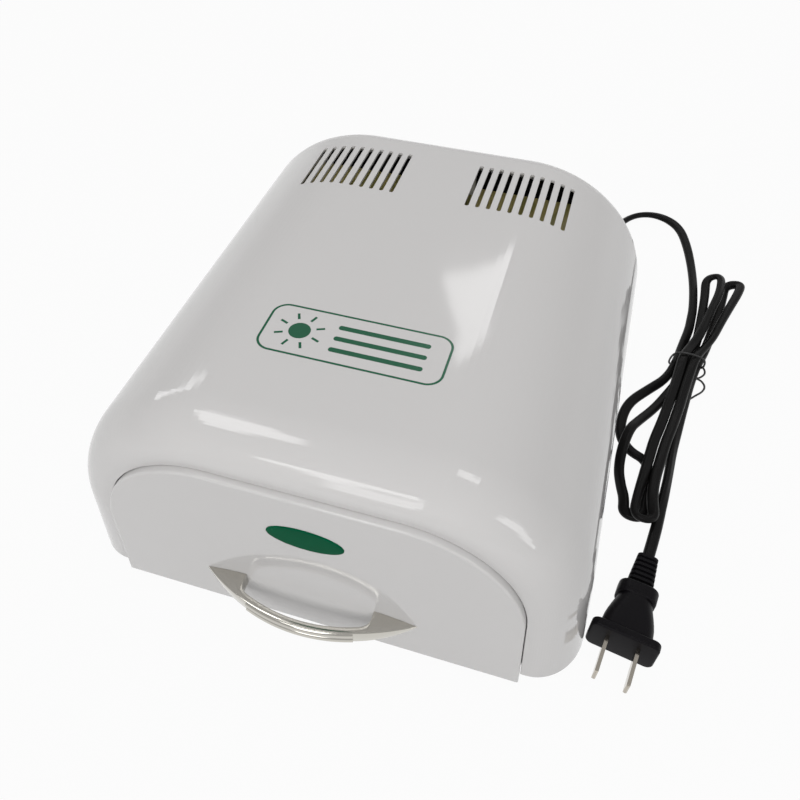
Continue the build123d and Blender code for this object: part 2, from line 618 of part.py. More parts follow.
# -------------------------------------------------------------- ballast boards
PARTS_FRONT = SOCKET_FRONT + PARTS_BACK
COIL_X = TOP_LAMP_X + SOCKET_WIDE / 2 + COIL_OUT
# each fitting: wide, deep, tall, its place from the middle and behind the foremost one
FITTINGS = ((9, 9, 12, COIL_X, 6), (9, 9, 12, COIL_X, 17), (3, 8, 11, COIL_X + 8, 5),
            (3, 8, 11, COIL_X + 8, 15), (5, 3, 3, BOARD_FIRST + 7.5, 6), (5, 3, 3, BOARD_FIRST + 15.5, 6),
            (4, 4, 9, BOARD_FIRST + 2.7, 12))
for name, side in (("left", -1), ("right", 1)):
    middle = side * (BOARD_FIRST + BOARD_WIDE / 2)
    with BuildPart() as board:
        slab((BOARD_WIDE, BOARD_DEEP, BOARD_THICK), middle, (BOARD_FRONT + BOARD_BACK) / 2, BOARD_LOW)
        for x, behind in BOARD_BOSSES:
            peg(BOARD_SCREW + SCREW_FIT, 2 * BOARD_THICK, x, behind, BOARD_LOW - 1, Mode.SUBTRACT)
    finish(board, f"ballast_board_{name}")
    with BuildPart() as fittings:
        for wide, deep, tall, out, back in FITTINGS:
            slab((wide, deep, tall), side * out, PARTS_FRONT + back, BOARD_LOW - tall)
    finish(fittings, f"ballast_parts_{name}")

with BuildPart() as board_screws:
    for x, behind in BOARD_BOSSES:
        peg(BOARD_SCREW, BOARD_THICK + BOARD_SCREW_BITE, x, behind, BOARD_LOW)
        peg(2 * BOARD_SCREW, HEAD_HEIGHT, x, behind, BOARD_LOW - HEAD_HEIGHT)
finish(board_screws, "board_screws")

# ---------------------------------------------------------------------- drawer
FACE_SCREW_DEEP = 3.0       # how deep the tray's screws bite into the face
HEAD_RADIUS = 1.8 * SCREW_RADIUS
HANDLE_SCREWS = [-SCREW_PITCH / 2, SCREW_PITCH / 2]
TRAY_SCREWS = [-TRAY_SCREW_X, TRAY_SCREW_X]
with BuildPart() as drawer_front:
    with BuildSketch(upright(-FACE_PROUD)):
        arch(FACE_HALF, FACE_LOW, FACE_TOP, FACE_RADIUS, FACE_LEAN)
    extrude(amount=-FACE_THICK)
    fillet(drawer_front.faces().sort_by(Axis.Y)[0].edges(), FACE_EDGE)
    for x in HANDLE_SCREWS:
        rod(SCREW_RADIUS + SCREW_FIT, 2 * FACE_THICK, x, -FACE_PROUD - 1, HANDLE_Z, Mode.SUBTRACT)
    for x in TRAY_SCREWS:
        rod(SCREW_RADIUS + SCREW_FIT, FACE_THICK, x, FACE_BACK - FACE_SCREW_DEEP - 0.2, TRAY_SCREW_Z,
            Mode.SUBTRACT)
finish(drawer_front, "drawer_front")

TRAY_FLOOR = TRAY_LOW + TRAY_WALL
TRAY_MIDDLE = FACE_BACK + TRAY_DEPTH / 2
RUNNER_SHORT = 12.0         # the runners start this far behind the face
with BuildPart() as drawer_tray:
    slab((2 * TRAY_HALF, TRAY_DEPTH, TRAY_HIGH - TRAY_LOW), 0, TRAY_MIDDLE, TRAY_LOW)
    slab((2 * (TRAY_HALF - TRAY_WALL), TRAY_DEPTH - 2 * TRAY_WALL, TRAY_HIGH), 0, TRAY_MIDDLE, TRAY_FLOOR,
         Mode.SUBTRACT)
    for side in (-1, 1):
        slab((RUNNER_WIDE, TRAY_DEPTH - RUNNER_SHORT, RUNNER_THICK), side * (TRAY_HALF + RUNNER_WIDE / 2),
             TRAY_MIDDLE + RUNNER_SHORT / 2, RUNNER_Z)
    for x in TRAY_SCREWS:
        rod(SCREW_RADIUS + SCREW_FIT, 3 * TRAY_WALL, x, FACE_BACK - TRAY_WALL, TRAY_SCREW_Z, Mode.SUBTRACT)
    slab((2 * (BUFFER_X + HOOK_OVER), TRAY_WALL, HOOK_DROP), 0, TRAY_REAR - TRAY_WALL / 2,
         TRAY_LOW - HOOK_DROP)
finish(drawer_tray, "drawer_tray")

MIRROR_GAP = 0.5
with BuildPart() as tray_mirror:
    slab((2 * (TRAY_HALF - TRAY_WALL - MIRROR_GAP), TRAY_DEPTH - 2 * (TRAY_WALL + MIRROR_GAP),
          MIRROR_THICK), 0, TRAY_MIDDLE, TRAY_FLOOR)
finish(tray_mirror, "tray_mirror")

with BuildPart() as tray_screws:
    for x in TRAY_SCREWS:
        rod(SCREW_RADIUS, FACE_SCREW_DEEP + TRAY_WALL, x, FACE_BACK - FACE_SCREW_DEEP, TRAY_SCREW_Z)
        rod(HEAD_RADIUS, HEAD_HEIGHT, x, FACE_BACK + TRAY_WALL, TRAY_SCREW_Z)
finish(tray_screws, "tray_screws")

with BuildPart() as front_badge:
    with BuildSketch(upright(-FACE_PROUD - BADGE_SIZE[2])):
        with Locations((0, BADGE_Z)):
            Ellipse(BADGE_SIZE[0] / 2, BADGE_SIZE[1] / 2)
    extrude(amount=-BADGE_SIZE[2])
finish(front_badge, "front_badge")


# ---------------------------------------------------------------------- handle
def bow_radius(chord, rise):
    """Radius of an arc from its chord and its rise."""
    return (chord * chord / 4 + rise * rise) / (2 * rise)


HANDLE_BACK = y_of(-FACE_PROUD)
HANDLE_HALF = HANDLE_SPAN / 2
BOW = bow_radius(HANDLE_SPAN, HANDLE_REACH)
BOW_Y = HANDLE_BACK - HANDLE_REACH + BOW    # centre of the bow's circle
HANDLE_BITE = 5.0                           # how deep its screws go in

with BuildPart() as ribs:
    for way in (-1, 1):
        with Locations((0, BOW_Y, HANDLE_Z + way * (HANDLE_HEIGHT / 2 - RIB_RADIUS))):
            Torus(BOW - RIB_RADIUS, RIB_RADIUS)
    with Locations((0, HANDLE_BACK - HANDLE_REACH, HANDLE_Z)):
        Box(2 * RIB_HALF, 2 * HANDLE_REACH, 2 * HANDLE_HEIGHT, mode=Mode.INTERSECT)

# the finger gap: straight sides at the face, then the bar's inner arc
with BuildSketch(Plane.XY.offset(HANDLE_Z - HANDLE_HEIGHT)) as grip:
    with Locations((0, BOW_Y)):
        Circle(BOW - GRIP_THICK)
    with Locations((0, HANDLE_BACK - HANDLE_REACH / 2)):
        Rectangle(GRIP_SPAN, 2 * HANDLE_REACH, mode=Mode.INTERSECT)
    fillet(grip.vertices().group_by(Axis.Y)[0], GRIP_CORNER)

with BuildPart() as handle:
    with BuildSketch(Plane.XY.offset(HANDLE_Z - HANDLE_HEIGHT / 2)):
        with BuildLine():
            ThreePointArc((-HANDLE_HALF, HANDLE_BACK), (0, HANDLE_BACK - HANDLE_REACH + FOOT_STEP),
                          (HANDLE_HALF, HANDLE_BACK))
            Line((HANDLE_HALF, HANDLE_BACK), (-HANDLE_HALF, HANDLE_BACK))
        make_face()
    extrude(amount=HANDLE_HEIGHT)
    with BuildSketch(upright(-FACE_PROUD - HANDLE_REACH)):
        with BuildLine():
            for high, tip in ((HANDLE_HEIGHT / 2, HANDLE_TIP / 2), (-HANDLE_HEIGHT / 2, -HANDLE_TIP / 2)):
                Line((-RIB_HALF, HANDLE_Z + high), (RIB_HALF, HANDLE_Z + high))
                for way in (-1, 1):
                    TangentArc((way * RIB_HALF, HANDLE_Z + high), (way * HANDLE_HALF, HANDLE_Z + tip),
                               tangent=(way, 0))
            for way in (-1, 1):
                Line((way * HANDLE_HALF, HANDLE_Z - HANDLE_TIP / 2),
                     (way * HANDLE_HALF, HANDLE_Z + HANDLE_TIP / 2))
        make_face()
    extrude(amount=-HANDLE_REACH, mode=Mode.INTERSECT)
    add(ribs.part)
    extrude(grip.sketch, amount=2 * HANDLE_HEIGHT, mode=Mode.SUBTRACT)
    for x in HANDLE_SCREWS:
        rod(SCREW_RADIUS + SCREW_FIT, 2 * HANDLE_BITE, x, -FACE_PROUD - HANDLE_BITE - 0.2, HANDLE_Z,
            Mode.SUBTRACT)
finish(handle, "handle")

with BuildPart() as handle_screws:
    for x in HANDLE_SCREWS:
        rod(SCREW_RADIUS, HANDLE_BITE + FACE_THICK, x, -FACE_PROUD - HANDLE_BITE, HANDLE_Z)
        rod(HEAD_RADIUS, HEAD_HEIGHT, x, FACE_BACK, HANDLE_Z)
finish(handle_screws, "handle_screws")

# --------------------------------------------------------------- rear controls
SWITCH_FRONT = BEZEL_FACE - BEZEL_PROUD - SWITCH_DEEP
PIVOT_BACK = SHELL_DEPTH - 2.0
WINDOW_TALL = ROCKER_TALL + 2.2
WINDOW_BACK = PIVOT_BACK - 4.5
WINDOW_WIDE = SWITCH_WIDE - 2 * SWITCH_WALL
ROCKER_WIDE = WINDOW_WIDE - 2 * ROCKER_GAP
PIVOT_RADIUS = 1.0
PIVOT_FIT = 0.1
BEZEL_CORNER = 1.5
with BuildPart() as switch_body:
    bar(SWITCH_WIDE, SWITCH_TALL, SWITCH_DEEP, SWITCH_X, SWITCH_FRONT, CONTROL_Z)
    bar(SWITCH_WIDE + 2 * BEZEL_OVER, SWITCH_TALL + 2 * BEZEL_OVER, BEZEL_PROUD, SWITCH_X, SHELL_DEPTH,
        CONTROL_Z, corner=BEZEL_CORNER)
    bar(WINDOW_WIDE, WINDOW_TALL, BEZEL_FACE, SWITCH_X, WINDOW_BACK, CONTROL_Z, mode=Mode.SUBTRACT)
    with Locations((SWITCH_X, y_of(PIVOT_BACK), CONTROL_Z)):
        Cylinder(PIVOT_RADIUS + PIVOT_FIT, SWITCH_WIDE - SWITCH_WALL / 2, rotation=(0, 90, 0),
                 mode=Mode.SUBTRACT)
finish(switch_body, "switch_body")

SWITCH_TAB = (0.8, 7.0, 4.8)
with BuildPart() as switch_tabs:
    for way in (-1, 0, 1):
        slab(SWITCH_TAB, SWITCH_X, SWITCH_FRONT - SWITCH_TAB[1] / 2,
             CONTROL_Z + way * SWITCH_TALL / 3 - SWITCH_TAB[2] / 2)
finish(switch_tabs, "switch_tabs")

# The rocker rests with its lower half pressed in; its profile is drawn level, and
# its plane is tilted about the pivot.
ROCKER_PLANE = Plane(origin=(SWITCH_X - ROCKER_WIDE / 2, y_of(PIVOT_BACK), CONTROL_Z),
                     x_dir=(0, cos(ROCKER_SWING), -sin(ROCKER_SWING)), z_dir=(1, 0, 0))
CREST = BEZEL_FACE + ROCKER_PROUD - PIVOT_BACK
with BuildPart() as switch_rocker:
    with BuildSketch(ROCKER_PLANE):
        with BuildLine():
            Polyline((CREST, ROCKER_TALL / 2), (CREST - ROCKER_HOLLOW, 0), (CREST, -ROCKER_TALL / 2),
                     (CREST - ROCKER_END, -ROCKER_TALL / 2), (-ROCKER_HEEL[0], -ROCKER_HEEL[1] / 2),
                     (-ROCKER_HEEL[0], ROCKER_HEEL[1] / 2), (CREST - ROCKER_END, ROCKER_TALL / 2),
                     close=True)
        make_face()
    extrude(amount=ROCKER_WIDE)
    with Locations((SWITCH_X, y_of(PIVOT_BACK), CONTROL_Z)):
        Cylinder(PIVOT_RADIUS, SWITCH_WIDE - SWITCH_WALL, rotation=(0, 90, 0))
finish(switch_rocker, "switch_rocker")

BARREL_LONG = 20.0
STEM = 1.5                  # radius of the button's stem
STEM_CLEAR = 0.2
CAP_DEEP = 7.0
BUTTON_FACE = BEZEL_FACE + BUTTON_PROUD
TIMER_BOX = (16.0, 12.0, 16.0)
TIMER_BEZEL = 8.0
BARREL_FRONT = SHELL_DEPTH - BARREL_LONG
BORE_FLOOR = BUTTON_FACE - CAP_DEEP - BUTTON_TRAVEL - 0.5
STEM_LONG = 8.0
with BuildPart() as timer_body:
    slab(TIMER_BOX, BUTTON_X, BARREL_FRONT - TIMER_BOX[1] / 2, CONTROL_Z - TIMER_BOX[2] / 2)
    rod(BARREL_RADIUS, BARREL_LONG, BUTTON_X, BARREL_FRONT, CONTROL_Z)
    rod(TIMER_BEZEL, BEZEL_PROUD, BUTTON_X, SHELL_DEPTH, CONTROL_Z)
    rod(BUTTON_RADIUS + BUTTON_FIT, BEZEL_FACE, BUTTON_X, BORE_FLOOR, CONTROL_Z, Mode.SUBTRACT)
    rod(STEM + STEM_CLEAR, STEM_LONG + BUTTON_TRAVEL, BUTTON_X, BORE_FLOOR - STEM_LONG, CONTROL_Z,
        Mode.SUBTRACT)
finish(timer_body, "timer_body")

with BuildPart() as timer_button:
    rod(BUTTON_RADIUS, CAP_DEEP, BUTTON_X, BUTTON_FACE - CAP_DEEP, CONTROL_Z)
    fillet(timer_button.faces().sort_by(Axis.Y)[-1].edges(), FACE_EDGE)
    rod(STEM, STEM_LONG, BUTTON_X, BUTTON_FACE - CAP_DEEP - STEM_LONG, CONTROL_Z)
finish(timer_button, "timer_button")

NUT_THICK = 2.5
NUT_OVER = 2.5
with BuildPart() as timer_nut:
    with BuildSketch(upright(SHELL_DEPTH - WALL - NUT_THICK)):
        with Locations((BUTTON_X, CONTROL_Z)):
            RegularPolygon(BARREL_RADIUS + NUT_OVER, 6)
            Circle(BARREL_RADIUS + CUT_FIT, mode=Mode.SUBTRACT)
    extrude(amount=-NUT_THICK)
finish(timer_nut, "timer_nut")

LENS_FLANGE = 3.4
LENS_LONG = 10.0
with BuildPart() as indicator_lens:
    rod(LENS_RADIUS, LENS_LONG, LENS_X, SHELL_DEPTH - LENS_LONG, CONTROL_Z)
    rod(LENS_FLANGE, 1, LENS_X, SHELL_DEPTH, CONTROL_Z)
    with Locations((LENS_X, y_of(SHELL_DEPTH), CONTROL_Z)):
        Sphere(LENS_RADIUS)
finish(indicator_lens, "indicator_lens")

# ------------------------------------------------------------- lead's way inside
GLAND_RIBS = 5
GLAND_INSIDE = 3.0
INNER_END = SHELL_DEPTH - WALL - GLAND_INSIDE
FLANGE_THICK = 3.0
TAIL_START = SHELL_DEPTH + FLANGE_THICK
TAIL_END = TAIL_START + GLAND_TAIL
TAIL_ROOT = 5.4
TAIL_TIP = 3.4
RIB_DEEP = 0.8
rib_pitch = GLAND_TAIL / GLAND_RIBS
with BuildPart() as cord_gland:
    with BuildSketch(Plane.XY.offset(GLAND_Z)):
        profile = [(0, INNER_END), (GLAND_FLANGE - 1, INNER_END),
                   (GLAND_FLANGE - 1, SHELL_DEPTH - WALL), (GLAND_NECK, SHELL_DEPTH - WALL),
                   (GLAND_NECK, SHELL_DEPTH), (GLAND_FLANGE, SHELL_DEPTH), (GLAND_FLANGE, SHELL_DEPTH + 1),
                   (TAIL_ROOT, TAIL_START)]
        for i in range(GLAND_RIBS):
            start = TAIL_START + i * rib_pitch
            root = TAIL_ROOT + (TAIL_TIP - TAIL_ROOT) * (i + 1) / GLAND_RIBS
            profile += [(root - RIB_DEEP, start), (root - RIB_DEEP, start + rib_pitch / 2),
                        (root, start + rib_pitch / 2), (root, start + rib_pitch)]
        profile += [(0, TAIL_END)]
        with BuildLine():
            Polyline(*[(GLAND_X + across, y_of(behind)) for across, behind in profile], close=True)
        make_face()
    revolve(axis=Axis((GLAND_X, 0, GLAND_Z), (0, 1, 0)))
finish(cord_gland, "cord_gland")

BLOCK_SIZE = (16.0, 14.0, 15.0)
BLOCK_X = GLAND_X + 3
BLOCK_BACK = INNER_END - 10.0
with BuildPart() as cord_inner:
    rod(CORD_DIAMETER / 2, INNER_END - BLOCK_BACK, GLAND_X, BLOCK_BACK, GLAND_Z)
finish(cord_inner, "cord_inner")

with BuildPart() as terminal_block:
    slab(BLOCK_SIZE, BLOCK_X, BLOCK_BACK - BLOCK_SIZE[1] / 2, PAN_TOP)
finish(terminal_block, "terminal_block")

with BuildPart() as terminal_screws:
    for way in (-1, 1):
        peg(SMALL_HEAD, HEAD_HEIGHT, BLOCK_X + way * BLOCK_SIZE[0] / 4, BLOCK_BACK - BLOCK_SIZE[1] / 2,
            PAN_TOP + BLOCK_SIZE[2])
finish(terminal_screws, "terminal_screws")

# ------------------------------------------------------------------------ plug
PLUG_AXIS = (sin(PLUG_TURN) * cos(PLUG_DROP), cos(PLUG_TURN) * cos(PLUG_DROP), -sin(PLUG_DROP))
PLUG_Z = FLANGE_SIZE[1] / 2 * cos(PLUG_DROP) + FLANGE_SIZE[2] * sin(PLUG_DROP) + 0.05
COLLAR_START = DOME[-1][0]
COLLAR_END = COLLAR_START + COLLAR_SIZE[2]


def plug_point(back):
    """A point on the plug's axis, `back` from its front face, as x, behind, z."""
    return tuple(start + back * step for start, step in zip((PLUG_X, PLUG_BEHIND, PLUG_Z), PLUG_AXIS))


def plug_plane(back):
    """A plane across the plug, facing its cord, with its y pointing up."""
    x, behind, z = plug_point(back)
    return Plane(origin=(x, y_of(behind), z), x_dir=(-cos(PLUG_TURN), sin(PLUG_TURN), 0), z_dir=PLUG_AXIS)


RELIEF_START = (11.5, 8.0)
RELIEF_FINISH = (9.0, 6.6)
RELIEF_GROOVE = 1.0
RELIEF_CORNER = 2.6
FLANGE_CORNER = 3.0
DOME_CORNER = 4.0
relief_pitch = (PLUG_LENGTH - COLLAR_END) / (RELIEF_RIBS - 0.5)
with BuildPart() as plug_body:
    with BuildSketch(plug_plane(0)):
        RectangleRounded(FLANGE_SIZE[0], FLANGE_SIZE[1], FLANGE_CORNER)
    extrude(amount=FLANGE_SIZE[2])
    for back, wide, tall in DOME:
        with BuildSketch(plug_plane(back)):
            RectangleRounded(wide, tall, DOME_CORNER)
    loft()
    with BuildSketch(plug_plane(COLLAR_START)):
        RectangleRounded(COLLAR_SIZE[0], COLLAR_SIZE[1], DOME_CORNER)
    extrude(amount=COLLAR_SIZE[2])
    for i in range(RELIEF_RIBS):
        share = i / (RELIEF_RIBS - 1)
        wide, tall = [a + share * (b - a) for a, b in zip(RELIEF_START, RELIEF_FINISH)]
        with BuildSketch(plug_plane(COLLAR_END + i * relief_pitch)):
            RectangleRounded(wide, tall, RELIEF_CORNER)
        extrude(amount=relief_pitch / 2)
        if i < RELIEF_RIBS - 1:
            with BuildSketch(plug_plane(COLLAR_END + (i + 0.5) * relief_pitch)):
                RectangleRounded(wide - 2 * RELIEF_GROOVE, tall - 2 * RELIEF_GROOVE,
                                 RELIEF_CORNER - RELIEF_GROOVE)
            extrude(amount=relief_pitch / 2)
finish(plug_body, "plug_body")

BLADE_TIP = 0.5             # bevel round the blades' tips
with BuildPart() as plug_blades:
    with BuildSketch(plug_plane(0)):
        with GridLocations(BLADE_PITCH, 0, 2, 1):
            Rectangle(BLADE_SIZE[0], BLADE_SIZE[1])
    extrude(amount=-BLADE_SIZE[2])
    for tip in plug_blades.faces().sort_by(Axis.Y)[:2]:
        chamfer(tip.edges(), BLADE_TIP)
finish(plug_blades, "plug_blades")

# ------------------------------------------------------------------ mains lead
# Points are x, behind, z.  The lead falls from the gland to the table, turns
# forward, is folded twice up and down in the hank, and ends in the plug.
LOW, HIGH = CORD_LOW, CORD_HIGH
LEAD = [(GLAND_X, TAIL_END, GLAND_Z), (GLAND_X, TAIL_END + 14, GLAND_Z), (80.8, 270, 13.6), (83.8, 288, 6),
        (88.5, 308, LOW), (95.5, 328, LOW), (104, 340, LOW), (115, 344.8, LOW), (126, 342, LOW),
        (134.5, 333, LOW), (139.5, 316, LOW), (143, 296, LOW), (145.4, 274, LOW), (145.9, 252, LOW),
        (145.1, 242, LOW)]
HANK = [LEAD[-1], (144.3, 232, LOW), (140.9, 216, LOW), (138.2, 201, LOW + TIE_LIFT), (134, 188, LOW),
        (125, 176.5, LOW), (116.5, 165, LOW), (113.4, 153, LOW), (113.6, 140, LOW), (119, 131, LOW),
        (128, 127.3, LOW), (130.2, 118, LOW), (129.6, 104, LOW), (129.6, 92, LOW), (120, 92, LOW),
        (119.6, 101, LOW), (117.3, 108, LOW), (115, 116.5, 4), (114.9, 127, HIGH + 0.1),
        (117.3, 141, HIGH + 0.1), (121.5, 150, 5), (129.5, 164, LOW), (136, 178, LOW), (141.3, 190, LOW),
        (143.75, 202, LOW + TIE_LIFT), (146.6, 213, LOW), (149.2, 224, LOW), (150.6, 240, LOW),
        (151.7, 256, LOW), (152.4, 268, LOW), (152.2, 283, 3.6), (160.6, 283, HIGH), (159.6, 266, HIGH),
        (155.6, 250, HIGH), (152.3, 236, HIGH), (149, 223, HIGH), (144.9, 212, HIGH),
        (140.8, 202, HIGH + TIE_LIFT), (139.3, 190, HIGH), (137.3, 176, HIGH), (135.1, 163, HIGH),
        (132.7, 150, HIGH), (129.8, 137, HIGH), (128.2, 125, HIGH), (126.4, 112, HIGH), (124.6, 100, HIGH),
        (123.6, 88, HIGH), (133.4, 88, HIGH), (131.4, 100, HIGH), (131.7, 112, HIGH), (133.7, 125, HIGH),
        (135.4, 137, HIGH), (138.2, 150, HIGH), (140.6, 163, HIGH), (142.6, 176, HIGH), (144.8, 190, HIGH),
        (146.8, 202, HIGH + TIE_LIFT), (151.4, 212, HIGH), (156.4, 223, HIGH), (160.5, 238, HIGH),
        (165.8, 255, HIGH), (170, 268, HIGH), (172.3, 279, 6.5), (164.3, 281, LOW), (162.8, 268, LOW),
        (160.7, 254, LOW), (157.8, 238, LOW), (155.1, 224, LOW), (152.5, 213, LOW),
        (149.2, 202, LOW + TIE_LIFT), (147, 190, LOW), (145.5, 180, LOW), (143.2, 163, LOW),
        (141.7, 150.5, LOW)]
TAIL = [HANK[-1], (140.2, 138, LOW), (139.2, 122, LOW), (138.1, 110, LOW), (136.6, 97.5, LOW),
        plug_point(PLUG_LENGTH + 15), plug_point(PLUG_LENGTH)]


def cord_piece(route, name):
    """One stretch of the lead as a tube; prints its length, volume and arcs."""
    points = [(x, y_of(behind), z) for x, behind, z in route]
    radii = arc_radii(points)
    with BuildPart() as cord:
        length = tube(points, CORD_DIAMETER, radii)
    finish(cord, name)
    share = cord.part.volume / (length * pi * CORD_DIAMETER ** 2 / 4)
    print(f"{name}: {length:.1f} mm, volume / (section x length) {share:.4f}, valid {cord.part.is_valid}")
    print("  radii", " ".join(f"{radius:.1f}" for radius in radii))
    return points, radii, length


def least_gap(points, radii):
    """Least distance between a tube's own strands, measured on points 1 mm apart."""
    with BuildLine() as line:
        FilletPolyline(*points, radius=radii)
    path = line.wire()
    count = int(path.length)
    spots = [path.position_at(i / count) for i in range(count + 1)]
    apart = int(4 * CORD_DIAMETER)
    pairs = ((i, j) for i in range(count) for j in range(i + apart, count + 1))
    return min((spots[i] - spots[j]).length for i, j in pairs) - CORD_DIAMETER


lead_length = cord_piece(LEAD, "cord_lead")[2]
hank_points, hank_radii, hank_length = cord_piece(HANK, "cord_hank")
tail_length = cord_piece(TAIL, "cord_tail")[2]
print(f"cord from gland to plug: {lead_length + hank_length + tail_length:.0f} mm")
print(f"least gap of the hank to itself: {least_gap(hank_points, hank_radii):.2f} mm")

# Wire tie round the bundle, its ends laid down along the strands
TIE_BEHIND = 202.0
TIE_INSIDE = (135.4, 152.1, 0.95, 11.8)     # left, right, bottom, top
TIE_CORNER = 2.3
TIE_TAIL = [(153.7, 200, 4), (153.8, 196.5, 1.4), (152.6, 192, 0.7), (151.6, 187, 0.7), (150.2, 182, 0.7)]
left, right, bottom, top = TIE_INSIDE
with BuildPart() as cord_tie:
    with BuildSketch(upright(TIE_BEHIND - TIE_WIRE / 2)):
        with Locations(((left + right) / 2, (bottom + top) / 2)):
            RectangleRounded(right - left + 2 * TIE_WIRE, top - bottom + 2 * TIE_WIRE, TIE_CORNER + TIE_WIRE)
            RectangleRounded(right - left, top - bottom, TIE_CORNER, mode=Mode.SUBTRACT)
    extrude(amount=-TIE_WIRE)
    wire_start = (right + TIE_WIRE / 2, TIE_BEHIND, 7)
    tube([(x, y_of(behind), z) for x, behind, z in [wire_start] + TIE_TAIL], TIE_WIRE)
finish(cord_tie, "cord_tie")
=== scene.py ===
"""Bench light-curing unit: its finishes, moulded casing, bright handle and mains lead."""
import json
from math import asin, cos, pi, radians, sin, sqrt, tan

import bmesh
import bpy
from mathutils import Matrix, Vector
from mathutils.bvhtree import BVHTree
from mathutils.interpolate import poly_3d_calc


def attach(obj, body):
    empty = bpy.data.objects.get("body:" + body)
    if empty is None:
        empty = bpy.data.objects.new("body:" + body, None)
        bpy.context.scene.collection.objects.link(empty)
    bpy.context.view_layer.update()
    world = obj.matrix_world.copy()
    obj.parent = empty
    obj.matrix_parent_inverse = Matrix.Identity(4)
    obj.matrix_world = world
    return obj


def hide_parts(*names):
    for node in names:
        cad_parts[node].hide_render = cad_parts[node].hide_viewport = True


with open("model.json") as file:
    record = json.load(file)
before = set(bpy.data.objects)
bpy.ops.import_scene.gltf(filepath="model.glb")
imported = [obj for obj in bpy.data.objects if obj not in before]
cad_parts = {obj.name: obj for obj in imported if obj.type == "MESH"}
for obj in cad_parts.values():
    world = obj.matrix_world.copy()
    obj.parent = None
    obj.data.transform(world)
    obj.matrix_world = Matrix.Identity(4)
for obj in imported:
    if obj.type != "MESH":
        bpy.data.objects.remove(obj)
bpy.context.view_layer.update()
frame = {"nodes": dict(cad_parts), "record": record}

MM = 0.001
RIM = -102.25                       # y of the casing's front rim, millimetres
scene = bpy.context.scene
scene.view_settings.view_transform = "Standard"


def spot(x, behind, z):
    """A place given in millimetres, `behind` the casing's front rim."""
    return Vector((x, RIM + behind, z)) * MM


def put(piece):
    scene.collection.objects.link(piece)
    return piece


def worked_out(piece):
    """A new mesh of a piece, with its modifiers applied."""
    depsgraph = bpy.context.evaluated_depsgraph_get()
    return bpy.data.meshes.new_from_object(piece.evaluated_get(depsgraph))


def skinned(made, rings, capped=True):
    """Joins closed outlines of vertices, each to the next, and closes the two ends."""
    for first, second in zip(rings, rings[1:]):
        for k in range(len(first)):
            after = (k + 1) % len(first)
            made.faces.new((first[k], first[after], second[after], second[k]))
    if capped:
        made.faces.new(rings[0])
        made.faces.new(rings[-1])


# ------------------------------------------------------------------------ camera
EYE = (71.447, -133.155, 306.925)   # millimetres; it stands before the rim
YAW, PITCH, ROLL = -0.301780, 0.838632, 0.001042
lens = bpy.data.cameras.new("camera")
lens.lens, lens.sensor_width = 34.31, 36.0
lens.shift_x, lens.shift_y = 0.0205, -0.0024
lens.clip_start = 0.02
camera = put(bpy.data.objects.new("camera", lens))
camera.matrix_world = (Matrix.Translation(spot(*EYE)) @ Matrix.Rotation(-YAW, 4, "Z")
                       @ Matrix.Rotation(pi / 2 - PITCH, 4, "X") @ Matrix.Rotation(ROLL, 4, "Z"))
scene.camera = camera

